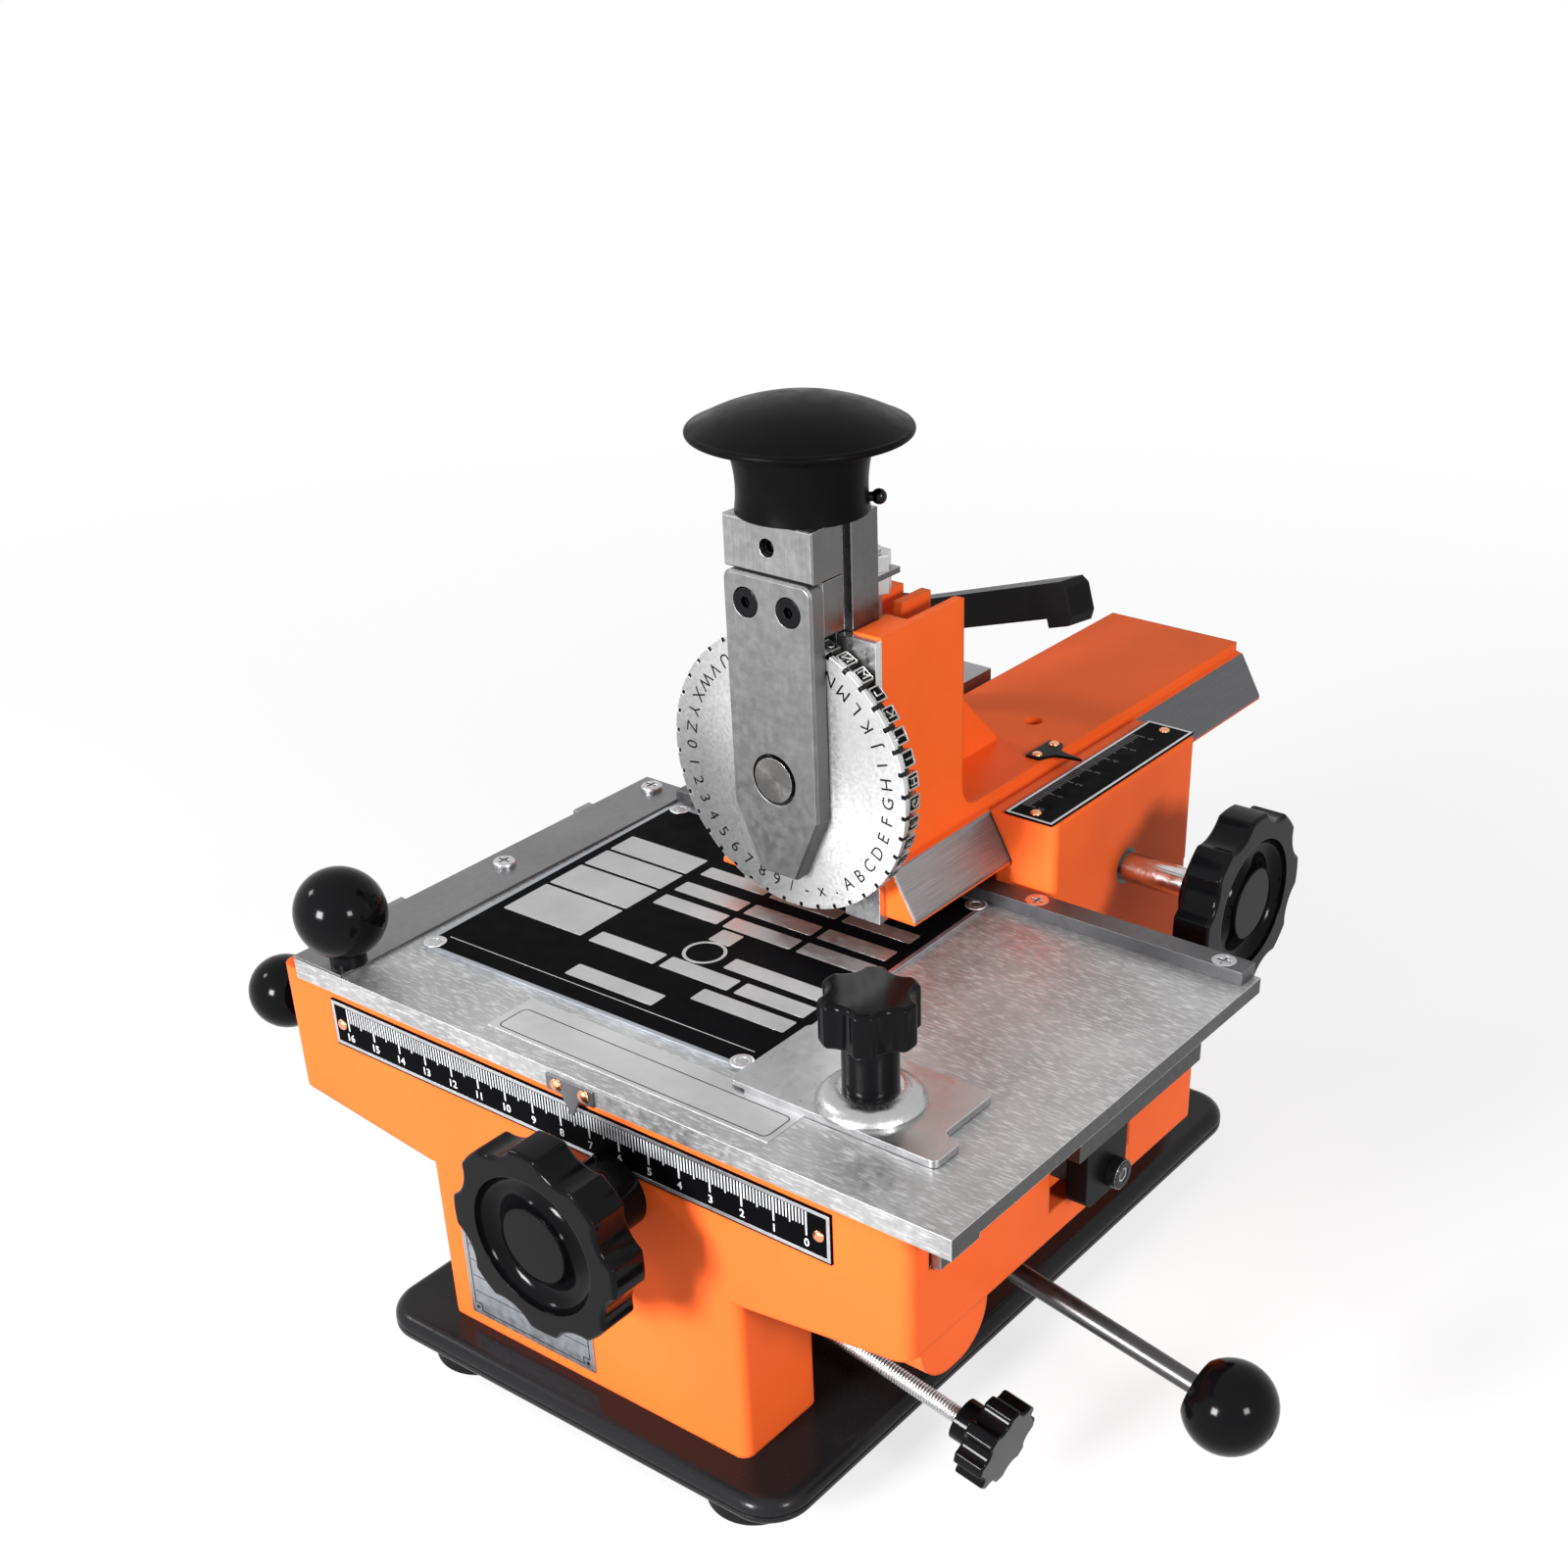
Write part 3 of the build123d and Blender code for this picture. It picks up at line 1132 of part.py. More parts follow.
def clamp_plate():
    """The stepped plate that holds the edge of the nameplate."""
    points = [
        (CLAMP_LEFT_X, CLAMP_FRONT_Y),
        (CLAMP_TAB_X, CLAMP_FRONT_Y),
        (CLAMP_TAB_X, CLAMP_TAB_BACK_Y),
        (CLAMP_RIGHT_X, CLAMP_TAB_BACK_Y),
        (CLAMP_RIGHT_X, CLAMP_BACK_Y),
        (CLAMP_LEFT_X, CLAMP_BACK_Y),
    ]
    bottom = TABLE_TOP_Z + LABEL_THICK
    plate = upright_rounded(prism_z(points, bottom, CLAMP_TOP_Z), CLAMP_CORNER)
    rebate_top = bottom + NAMEPLATE_THICK
    plate -= block(
        CLAMP_LEFT_X - OVERRUN,
        CLAMP_LEFT_X + CLAMP_REBATE,
        CLAMP_FRONT_Y - OVERRUN,
        CLAMP_BACK_Y + OVERRUN,
        0,
        rebate_top,
    )
    return plate - rod_z(CLAMP_STUD_X, CLAMP_STUD_Y, bottom, CLAMP_TOP_Z, CLAMP_STUD_RADIUS)


def clamp_stud():
    """The stud that stands in the table for the star knob."""
    return rod_z(CLAMP_STUD_X, CLAMP_STUD_Y, TABLE_BOTTOM_Z, STAR_BOTTOM_Z + STAR_STUD_IN, CLAMP_STUD_RADIUS)


def dome_washer():
    """The domed washer under the star knob."""
    z = CLAMP_TOP_Z
    top = z + WASHER_RISE
    side = Polyline(
        (CLAMP_STUD_RADIUS, 0, top),
        (CLAMP_STUD_RADIUS, 0, z),
        (WASHER_RADIUS, 0, z),
        (WASHER_RADIUS, 0, z + WASHER_EDGE),
    )
    bulge_x = (WASHER_RADIUS + WASHER_CROWN_RADIUS) / 2 + WASHER_EDGE
    bulge_z = z + WASHER_RISE * WASHER_BULGE_SHARE
    dome = ThreePointArc(
        (WASHER_RADIUS, 0, z + WASHER_EDGE), (bulge_x, 0, bulge_z), (WASHER_CROWN_RADIUS, 0, top)
    )
    lid = Line((WASHER_CROWN_RADIUS, 0, top), (CLAMP_STUD_RADIUS, 0, top))
    return Pos(CLAMP_STUD_X, CLAMP_STUD_Y, 0) * revolve(make_face(side + dome + lid), Axis.Z)


def clamp_star_knob():
    """The lobed knob over the nameplate clamp."""
    head = lobed_disc(
        STAR_RADIUS, STAR_HEAD, STAR_LOBES, STAR_SCALLOP_RADIUS, STAR_SCALLOP_DEPTH, STAR_ROUND
    )
    stem = Pos(0, 0, -STAR_STEM / 2) * Cylinder(STAR_STEM_RADIUS, STAR_STEM)
    base = STAR_BOTTOM_Z + SHAFT_GAP
    knob = Pos(CLAMP_STUD_X, CLAMP_STUD_Y, base + STAR_STEM) * (head + stem)
    bore = CLAMP_STUD_RADIUS + SHAFT_GAP
    return knob - rod_z(CLAMP_STUD_X, CLAMP_STUD_Y, base - OVERRUN, base + STAR_STUD_IN, bore)


def slide_profile():
    """Half outline of the head slide section as (x, z), then mirrored."""
    half = [
        (SLIDE_TOP_HALF, SLIDE_TOP_Z),
        (SLIDE_TOP_HALF, SLIDE_SHOULDER_Z),
        (FLANK_TOP_HALF, FLANK_TOP_Z),
        (FLANK_FOOT_HALF, FLANK_FOOT_Z),
        (FLANK_FOOT_HALF, SLIDE_BOTTOM_Z),
    ]
    right = [(HEAD_X + x, z) for x, z in half]
    left = [(HEAD_X - x, z) for x, z in reversed(half)]
    return right + left


def head_casting():
    """The painted head: dovetail slide, upright housing with ribs, and the sloping web behind it."""
    slide = prism_y(slide_profile(), HEAD_FRONT_Y, SLIDE_BACK_Y)
    slide -= block(
        HEAD_X - SLIDE_GROOVE_HALF,
        HEAD_X + SLIDE_GROOVE_HALF,
        HOUSING_BACK_Y,
        SLIDE_BACK_Y + OVERRUN,
        SLIDE_BOTTOM_Z - OVERRUN,
        SLIDE_BOTTOM_Z + SLIDE_GROOVE_DEPTH,
    )
    slide -= rod_z(OIL_HOLE_X, OIL_HOLE_Y, SLIDE_BOTTOM_Z, SLIDE_TOP_Z + OVERRUN, OIL_HOLE_RADIUS)
    left = HEAD_X - SLIDE_TOP_HALF
    right = HEAD_X + SLIDE_TOP_HALF
    housing = block(left, right, HEAD_FRONT_Y, HOUSING_BACK_Y, HOUSING_BOTTOM_Z, HOUSING_TOP_Z)
    pocket = [
        (POCKET_FRONT_Y - RIB_THICK, HOUSING_TOP_Z + OVERRUN),
        (POCKET_FRONT_Y - RIB_THICK, HOUSING_TOP_Z),
        (POCKET_FRONT_Y, POCKET_ROOF_Z),
        (HOUSING_BACK_Y + OVERRUN, POCKET_BACK_Z),
        (HOUSING_BACK_Y + OVERRUN, HOUSING_TOP_Z + OVERRUN),
    ]
    edges = [WEB_HALF, INNER_RIB_HALF - RIB_THICK, INNER_RIB_HALF, SLIDE_TOP_HALF - RIB_THICK]
    for side in (-1, 1):
        for inner, outer in (edges[0:2], edges[2:4]):
            x0, x1 = sorted((HEAD_X + side * inner, HEAD_X + side * outer))
            housing -= prism_x(pocket, x0, x1)
    web = prism_x(
        [
            (HOUSING_BACK_Y - RIB_THICK, SLIDE_TOP_Z - RIB_THICK),
            (HOUSING_BACK_Y - RIB_THICK, WEB_TOP_Z + RIB_THICK),
            (HOUSING_BACK_Y, WEB_TOP_Z),
            (WEB_END_Y, SLIDE_TOP_Z),
            (WEB_END_Y, SLIDE_TOP_Z - RIB_THICK),
        ],
        HEAD_X - WEB_HALF,
        HEAD_X + WEB_HALF,
    )
    corner = block(
        left, right, HOUSING_BACK_Y, HOUSING_BACK_Y + HEAD_FILLET, SLIDE_TOP_Z, SLIDE_TOP_Z + HEAD_FILLET
    )
    corner -= rod_x(
        HOUSING_BACK_Y + HEAD_FILLET, SLIDE_TOP_Z + HEAD_FILLET, left - OVERRUN, right + OVERRUN, HEAD_FILLET
    )
    head = slide + housing + corner + web
    channel_half = RAM_FLANGE_HALF + RUN_GAP
    head -= block(
        HEAD_X - channel_half,
        HEAD_X + channel_half,
        HEAD_FRONT_Y - OVERRUN,
        RAM_FLANGE_BACK_Y + RUN_GAP,
        RAM_FLOOR_Z,
        HOUSING_TOP_Z + OVERRUN,
    )
    seat = block(
        HEAD_X - RAM_NECK_HALF,
        HEAD_X + RAM_NECK_HALF,
        HEAD_FRONT_Y - OVERRUN,
        HEAD_FRONT_Y + RIB_THICK,
        HOUSING_BOTTOM_Z - OVERRUN,
        RAM_FLOOR_Z + OVERRUN,
    )
    head -= seat
    head += rod_z(HEAD_X, SPRING_Y, RAM_FLOOR_Z, SPRING_PIN_TOP_Z - RAM_STROKE, SPRING_PIN_RADIUS)
    head -= rod_z(
        STUD_X, STUD_Y, STUD_BOTTOM_Z - RAM_STROKE - RIB_THICK, HOUSING_TOP_Z, STUD_RADIUS + SHAFT_GAP
    )
    head -= block(
        STUD_X - STOP_POCKET_SIDE,
        STUD_X + STOP_POCKET_SIDE,
        RAM_FLANGE_BACK_Y,
        STUD_Y + STOP_POCKET_SIDE,
        STOP_POCKET_Z,
        HOUSING_TOP_Z + OVERRUN,
    )
    for x in cover_centres():
        for z in cover_screw_heights():
            head -= rod_y(x, z, HEAD_FRONT_Y, COVER_FRONT_Y + COVER_SCREW_REACH, COVER_SCREW_RADIUS)
    stem_end = left + DETENT_STEM_IN
    head -= rod_x(DETENT_Y, DETENT_Z, left - OVERRUN, stem_end, DETENT_STEM_RADIUS + SHAFT_GAP)
    return head


def head_rack():
    """The rack under the slide."""
    root_z = SLIDE_BOTTOM_Z + SLIDE_GROOVE_DEPTH
    return block(
        HEAD_RACK_LEFT_X, HEAD_RACK_RIGHT_X, HEAD_RACK_FRONT_Y, HEAD_RACK_BACK_Y, HEAD_RACK_BOTTOM_Z, root_z
    )


def head_pointer():
    """The black pointer riveted on the slide, over the head scale."""
    z = SLIDE_TOP_Z
    points = [
        (HEAD_POINTER_X - HEAD_POINTER_LEFT, HEAD_POINTER_Y - HEAD_POINTER_HALF),
        (HEAD_POINTER_X + HEAD_POINTER_NECK, HEAD_POINTER_Y - HEAD_POINTER_HALF),
        (HEAD_POINTER_X + HEAD_POINTER_WAIST, HEAD_POINTER_Y - HEAD_POINTER_WAIST_HALF),
        (HEAD_POINTER_X + HEAD_POINTER_TIP, HEAD_POINTER_Y),
        (HEAD_POINTER_X + HEAD_POINTER_WAIST, HEAD_POINTER_Y + HEAD_POINTER_WAIST_HALF),
        (HEAD_POINTER_X + HEAD_POINTER_NECK, HEAD_POINTER_Y + HEAD_POINTER_HALF),
        (HEAD_POINTER_X - HEAD_POINTER_LEFT, HEAD_POINTER_Y + HEAD_POINTER_HALF),
    ]
    return prism_z(points, z, z + HEAD_POINTER_THICK)


def head_pointer_rivets():
    """Two rivets of the head pointer."""
    z = SLIDE_TOP_Z + HEAD_POINTER_THICK
    reach = HEAD_POINTER_RIVET_REACH
    return [
        rod_z(HEAD_POINTER_X, HEAD_POINTER_Y + side * reach, z, z + RIVET_HEIGHT, RIVET_RADIUS) for side in (
            -1, 1
        )
    ]


def cover_centres():
    """X places of the two cover strips."""
    reach = (COVER_INNER_HALF + SLIDE_TOP_HALF) / 2
    return [HEAD_X - reach, HEAD_X + reach]


def cover_screw_heights():
    """Heights of the two screws in each cover strip."""
    return [COVER_BOTTOM_Z + COVER_SCREW_INSET_Z, COVER_TOP_Z - COVER_SCREW_INSET_Z]


def cover_gibs():
    """Two steel strips that hold the ram in its channel."""
    strips = []
    width = SLIDE_TOP_HALF - COVER_INNER_HALF
    for x in cover_centres():
        strip = block(x - width / 2, x + width / 2, COVER_FRONT_Y, HEAD_FRONT_Y, COVER_BOTTOM_Z, COVER_TOP_Z)
        for z in cover_screw_heights():
            strip -= rod_y(x, z, COVER_FRONT_Y, HEAD_FRONT_Y, COVER_SCREW_HEAD_RADIUS)
        strips.append(strip)
    return strips


def cover_screws():
    """Four flat screws of the cover strips."""
    screws = []
    for x in cover_centres():
        for z in cover_screw_heights():
            head = rod_y(x, z, COVER_FRONT_Y + SHAFT_GAP, HEAD_FRONT_Y, COVER_SCREW_HEAD_RADIUS - SHAFT_GAP)
            screw = head + rod_y(x, z, HEAD_FRONT_Y, COVER_FRONT_Y + COVER_SCREW_REACH, COVER_SCREW_RADIUS)
            place = Pos(x, COVER_FRONT_Y + SHAFT_GAP, z) * Rot(90, 0, 0)
            screws.append(
                screw - place * extrude(RegularPolygon(SOCKET_HEX, 6), amount=SOCKET_HEX_DEPTH, both=True)
            )
    return screws


def stop_sleeve():
    """The short steel sleeve on which the lower nut of the stop stud lands."""
    top = TAB_BOTTOM_Z - NUT_THICK - RAM_STROKE - SHAFT_GAP
    sleeve = rod_z(STUD_X, STUD_Y, STOP_POCKET_Z, top, SLEEVE_RADIUS)
    return sleeve - rod_z(STUD_X, STUD_Y, STOP_POCKET_Z, top, STUD_RADIUS + SHAFT_GAP)


def detent_knob():
    """The small black knob on the left of the housing."""
    left = HEAD_X - SLIDE_TOP_HALF
    grip_right = left - RUN_GAP
    knob = rod_x(DETENT_Y, DETENT_Z, grip_right - DETENT_LENGTH, grip_right, DETENT_RADIUS)
    knob = fillet(knob.faces().sort_by(Axis.X)[0].edges(), RIVET_HEIGHT)
    return knob + rod_x(DETENT_Y, DETENT_Z, grip_right, left + DETENT_STEM_IN - RUN_GAP, DETENT_STEM_RADIUS)


def ram_slide():
    """The steel ram: rear flange, neck between the covers, boss for the bracket, tab of the stop stud."""
    flange = block(
        HEAD_X - RAM_FLANGE_HALF,
        HEAD_X + RAM_FLANGE_HALF,
        RAM_FLANGE_FRONT_Y,
        RAM_FLANGE_BACK_Y,
        RAM_BOTTOM_Z,
        RAM_TOP_Z,
    )
    neck = block(
        HEAD_X - RAM_NECK_HALF,
        HEAD_X + RAM_NECK_HALF,
        RAM_NECK_FRONT_Y,
        RAM_FLANGE_FRONT_Y,
        RAM_BOTTOM_Z,
        RAM_TOP_Z,
    )
    boss = block(
        HEAD_X - BOSS_HALF,
        HEAD_X + BOSS_HALF,
        BOSS_FRONT_Y,
        RAM_NECK_FRONT_Y,
        BOSS_BOTTOM_Z,
        BLOCK_BOTTOM_Z - BLOCK_EDGE / 2,
    )
    tab = block(
        STUD_X - TAB_HALF,
        STUD_X + TAB_HALF,
        RAM_FLANGE_BACK_Y,
        TAB_BACK_Y,
        TAB_BOTTOM_Z,
        TAB_BOTTOM_Z + TAB_THICK,
    )
    ram = flange + neck + boss + tab
    ram -= rod_z(
        HEAD_X, SPRING_Y, RAM_BOTTOM_Z - OVERRUN, RAM_BOTTOM_Z + SPRING_BORE_DEPTH, SPRING_BORE_RADIUS
    )
    ram -= rod_z(STUD_X, STUD_Y, TAB_BOTTOM_Z - OVERRUN, TAB_BOTTOM_Z + TAB_THICK + OVERRUN, STUD_RADIUS)
    ram -= rod_y(HEAD_X, HUB_Z, RAM_NECK_FRONT_Y, RAM_FLANGE_FRONT_Y, PIN_RADIUS / 2)
    for side in (-1, 1):
        x = HEAD_X + side * BRACKET_SCREW_HALF
        ram -= rod_y(x, BRACKET_SCREW_Z, BOSS_FRONT_Y, BOSS_FRONT_Y + SOCKET_REACH, SOCKET_SHANK_RADIUS)
    return ram


def ram_block():
    """The square steel block under the press knob, with its set screw hole."""
    piece = block(
        HEAD_X - BOSS_HALF,
        HEAD_X + BOSS_HALF,
        RAM_BLOCK_FRONT_Y,
        RAM_NECK_FRONT_Y,
        BLOCK_BOTTOM_Z,
        RAM_TOP_Z,
    )
    piece = chamfer(piece.faces().sort_by(Axis.Y)[0].edges(), BLOCK_EDGE / 2)
    return piece - rod_y(
        HEAD_X, SET_SCREW_Z, RAM_BLOCK_FRONT_Y - OVERRUN, RAM_NECK_FRONT_Y, SET_SCREW_RADIUS
    )


def wheel_bracket():
    """The tapered plate in front of the type wheel."""
    points = [
        (HEAD_X - BRACKET_HALF, BRACKET_TOP_Z),
        (HEAD_X + BRACKET_HALF, BRACKET_TOP_Z),
        (HEAD_X + BRACKET_HALF, BRACKET_TAPER_Z),
        (HEAD_X + BRACKET_TIP_HALF, BRACKET_TIP_Z),
        (HEAD_X - BRACKET_TIP_HALF, BRACKET_TIP_Z),
        (HEAD_X - BRACKET_HALF, BRACKET_TAPER_Z),
    ]
    plate = prism_y(points, BRACKET_FRONT_Y, BRACKET_BACK_Y)
    corners = plate.edges().filter_by(Axis.Y).group_by(Axis.Z)[-1]
    plate = fillet(corners, BRACKET_CORNER)
    plate = chamfer(plate.faces().sort_by(Axis.Y)[0].edges(), BRACKET_EDGE)
    plate -= rod_y(HEAD_X, HUB_Z, BRACKET_FRONT_Y - OVERRUN, BRACKET_BACK_Y + OVERRUN, BRACKET_BORE_RADIUS)
    for side in (-1, 1):
        x = HEAD_X + side * BRACKET_SCREW_HALF
        plate -= rod_y(x, BRACKET_SCREW_Z, BRACKET_FRONT_Y, BRACKET_BACK_Y, SOCKET_SHANK_RADIUS)
        bore = SOCKET_HEAD_RADIUS + COUNTERBORE_GAP
        plate -= rod_y(x, BRACKET_SCREW_Z, BRACKET_FRONT_Y - OVERRUN, BRACKET_FRONT_Y + SOCKET_HEAD, bore)
    return plate


def ram_screws():
    """Two socket screws of the bracket, the set screw of the block and the ball-headed pin of the knob."""
    screws = []
    for side in (-1, 1):
        x = HEAD_X + side * BRACKET_SCREW_HALF
        screw = rod_y(x, BRACKET_SCREW_Z, BRACKET_FRONT_Y, BRACKET_FRONT_Y + SOCKET_HEAD, SOCKET_HEAD_RADIUS)
        seat = BRACKET_FRONT_Y + SOCKET_HEAD
        screw += rod_y(x, BRACKET_SCREW_Z, seat, BOSS_FRONT_Y + SOCKET_REACH, SOCKET_SHANK_RADIUS)
        place = Pos(x, BRACKET_FRONT_Y, BRACKET_SCREW_Z) * Rot(90, 0, 0)
        screws.append(
            screw - place * extrude(RegularPolygon(SOCKET_HEX, 6), amount=SOCKET_HEX_DEPTH, both=True)
        )
    face = RAM_BLOCK_FRONT_Y + SOCKET_HEX
    set_screw = rod_y(HEAD_X, SET_SCREW_Z, face, face + SET_SCREW_DEPTH, SET_SCREW_RADIUS)
    place = Pos(HEAD_X, face, SET_SCREW_Z) * Rot(90, 0, 0)
    screws.append(
        set_screw - place * extrude(RegularPolygon(SOCKET_HEX, 6), amount=SOCKET_HEX_DEPTH, both=True)
    )
    screws.append(ear_frame() * (ear_pin() + Pos(EAR_BALL_OUT, 0, 0) * Sphere(EAR_BALL_RADIUS)))
    return screws


def ear_frame():
    """Placement on the knob axis with local X towards the ball-headed pin."""
    return Pos(HEAD_X, KNOB_Y, EAR_PIN_Z) * Rot(0, 0, EAR_PIN_TURN)


def ear_pin():
    """The shank of the ball-headed pin, along local X."""
    return rod_x(0, 0, EAR_PIN_IN, EAR_BALL_OUT, EAR_PIN_RADIUS)


def press_knob():
    """The mushroom-shaped press knob."""
    rim_top = CAP_RIM_Z + CAP_RIM_THICK
    apex = rim_top + CAP_RISE
    shoulder = (CAP_RADIUS + NECK_RADIUS) / 2
    start = Polyline((0, 0, apex), (0, 0, RAM_TOP_Z), (NECK_WAIST, 0, RAM_TOP_Z))
    side = ThreePointArc(
        (NECK_WAIST, 0, RAM_TOP_Z),
        (NECK_WAIST - NECK_ROUND / 2, 0, (RAM_TOP_Z + NECK_TOP_Z) / 2),
        (NECK_RADIUS, 0, NECK_TOP_Z),
    )
    flare = ThreePointArc(
        (NECK_RADIUS, 0, NECK_TOP_Z),
        (NECK_RADIUS + NECK_FLARE / 2, 0, CAP_RIM_Z - NECK_FLARE / 3),
        (shoulder, 0, CAP_RIM_Z - NECK_ROUND / 2),
    )
    under = Polyline((shoulder, 0, CAP_RIM_Z - NECK_ROUND / 2), (CAP_RADIUS - NECK_ROUND, 0, CAP_RIM_Z))
    rim = ThreePointArc(
        (CAP_RADIUS - NECK_ROUND, 0, CAP_RIM_Z),
        (CAP_RADIUS, 0, CAP_RIM_Z + CAP_RIM_THICK / 2),
        (CAP_RADIUS - NECK_ROUND, 0, rim_top),
    )
    edge = CAP_RADIUS - NECK_ROUND
    sphere = (edge * edge + CAP_RISE * CAP_RISE) / (CAP_RISE * 2)
    half_way = math.asin(edge / sphere) / 2
    middle = (sphere * math.sin(half_way), 0, apex - sphere + sphere * math.cos(half_way))
    dome = ThreePointArc((edge, 0, rim_top), middle, (0, 0, apex))
    knob = Pos(HEAD_X, KNOB_Y, 0) * revolve(make_face(start + side + flare + under + rim + dome), Axis.Z)
    return knob - ear_frame() * ear_pin()


def hub_pin():
    """The pin on which the type wheel turns."""
    pin = rod_y(HEAD_X, HUB_Z, BRACKET_FRONT_Y - PIN_PROUD, RAM_NECK_FRONT_Y, PIN_RADIUS)
    return pin + rod_y(HEAD_X, HUB_Z, RAM_NECK_FRONT_Y, RAM_FLANGE_FRONT_Y, PIN_RADIUS / 2)


def nut(x, y, z0, z1):
    """A hexagon nut round a stud along Z."""
    body = Pos(x, y, z0) * extrude(RegularPolygon(NUT_RADIUS, 6), amount=z1 - z0)
    return body - rod_z(x, y, z0 - OVERRUN, z1 + OVERRUN, STUD_RADIUS)


def stop_stud():
    """The stop stud behind the ram, with its two nuts."""
    stud = rod_z(STUD_X, STUD_Y, STUD_BOTTOM_Z, STUD_TOP_Z, STUD_RADIUS)
    over = TAB_BOTTOM_Z + TAB_THICK
    return [
        stud,
        nut(STUD_X, STUD_Y, TAB_BOTTOM_Z - NUT_THICK, TAB_BOTTOM_Z),
        nut(STUD_X, STUD_Y, over, over + NUT_THICK),
    ]


def return_spring():
    """The spring in the bore of the ram that lifts it again."""
    bottom = RAM_FLOOR_Z + SPRING_WIRE + RUN_GAP
    top = RAM_BOTTOM_Z + SPRING_BORE_DEPTH - SPRING_WIRE - RUN_GAP
    return Pos(HEAD_X, SPRING_Y, 0) * coil(SPRING_RADIUS, SPRING_WIRE, bottom, top, SPRING_TURNS)


def type_wheel():
    """The notched type wheel."""
    back = WHEEL_FRONT_Y + WHEEL_THICK
    wheel = rod_y(HEAD_X, HUB_Z, WHEEL_FRONT_Y, back, WHEEL_RADIUS)
    middle = (WHEEL_FRONT_Y + back) / 2
    reach = WHEEL_RADIUS - TYPE_GAP_DEPTH / 2 + OVERRUN / 2
    for index in range(TYPE_COUNT):
        turn = 360 * (index + 0.5) / TYPE_COUNT
        notch = Box(TYPE_GAP, WHEEL_THICK + OVERRUN, TYPE_GAP_DEPTH + OVERRUN)
        wheel -= Pos(HEAD_X, middle, HUB_Z) * Rot(0, turn, 0) * Pos(0, 0, reach) * notch
    return wheel - rod_y(HEAD_X, HUB_Z, WHEEL_FRONT_Y - OVERRUN, back + OVERRUN, PIN_RADIUS + SHAFT_GAP)


def lever_stud():
    """The stud of the clamp lever, standing in the gib."""
    return rod_z(LEVER_X, LEVER_Y, LEVER_STUD_FOOT_Z, LEVER_NECK_Z, LEVER_STUD_RADIUS)


def clamp_lever():
    """The black clamping lever with its tall hub and rising handle."""
    hub = Pos(LEVER_X, LEVER_Y, (LEVER_HUB_BOTTOM_Z + LEVER_HUB_TOP_Z) / 2)
    height = LEVER_HUB_TOP_Z - LEVER_HUB_BOTTOM_Z
    hub = hub * Cone(LEVER_HUB_FOOT, LEVER_HUB_RADIUS, height)
    half = LEVER_BAR_HEIGHT / 2
    outline = [
        (0, -half),
        (LEVER_REACH - LEVER_HOOK, -half),
        (LEVER_REACH - LEVER_HOOK, -half - LEVER_HOOK_DROP),
        (LEVER_REACH - LEVER_ROUND, -half - LEVER_HOOK_DROP),
        (LEVER_REACH, -half),
        (LEVER_REACH, half - LEVER_ROUND),
        (LEVER_REACH - LEVER_ROUND, half),
        (0, half),
    ]
    bar = prism_y(outline, -LEVER_BAR_WIDTH / 2, LEVER_BAR_WIDTH / 2)
    bar = fillet(bar.edges().filter_by(Axis.Y).group_by(Axis.X)[-1], LEVER_ROUND / 2)
    bar = Pos(LEVER_X, LEVER_Y, LEVER_BAR_Z) * Rot(0, 0, LEVER_TURN) * Rot(0, -LEVER_RISE, 0) * bar
    lever = hub + bar
    bore = LEVER_STUD_RADIUS + SHAFT_GAP
    return lever - rod_z(LEVER_X, LEVER_Y, LEVER_HUB_BOTTOM_Z - OVERRUN, LEVER_NECK_Z + RUN_GAP, bore)


def rocker_pivot():
    """The shouldered stud on which the rocker swings, set in the back of the pillar."""
    hub_front = ROCKER_Y - ROCKER_HUB_HALF
    hub_back = ROCKER_Y + ROCKER_HUB_HALF
    stud = rod_y(ROCKER_X, ROCKER_Z, PILLAR_BACK_Y - BODY_WALL, PILLAR_BACK_Y, ROCKER_STUD_RADIUS)
    stud += rod_y(ROCKER_X, ROCKER_Z, PILLAR_BACK_Y, hub_front - SHAFT_GAP, ROCKER_SHOULDER_RADIUS)
    stud += rod_y(ROCKER_X, ROCKER_Z, hub_front - SHAFT_GAP, hub_back + ROCKER_STUD_END, ROCKER_STUD_RADIUS)
    return stud


def rocker_hub():
    """The hub of the rocking lever with the plate that carries the pawl pin."""
    back = ROCKER_Y + ROCKER_HUB_HALF
    hub = rod_y(ROCKER_X, ROCKER_Z, ROCKER_Y - ROCKER_HUB_HALF, back, ROCKER_HUB_RADIUS)
    reach = PAWL_PIN_X - ROCKER_X
    arm = [
        (ROCKER_X, ROCKER_Z - PAWL_ROOT_RADIUS),
        (PAWL_PIN_X, PAWL_PIN_Z - PAWL_ROOT_RADIUS),
        (PAWL_PIN_X + PAWL_ROOT_RADIUS, PAWL_PIN_Z),
        (PAWL_PIN_X, PAWL_PIN_Z + PAWL_ROOT_RADIUS),
        (ROCKER_X + reach / 2, ROCKER_Z),
    ]
    hub += prism_y(arm, back - PAWL_PLATE_THICK, back)
    hub += rod_y(PAWL_PIN_X, PAWL_PIN_Z, back, INDEX_BAR_BACK_Y, PAWL_PIN_RADIUS)
    bore = ROCKER_STUD_RADIUS + SHAFT_GAP
    return hub - rod_y(ROCKER_X, ROCKER_Z, ROCKER_Y - ROCKER_HUB_HALF - OVERRUN, back + OVERRUN, bore)


def rocker_side(side):
    """Placement at the hub with local Z along one arm of the rocker."""
    return Pos(ROCKER_X, ROCKER_Y, ROCKER_Z) * Rot(0, side * (90 + ROCKER_DROOP), 0)


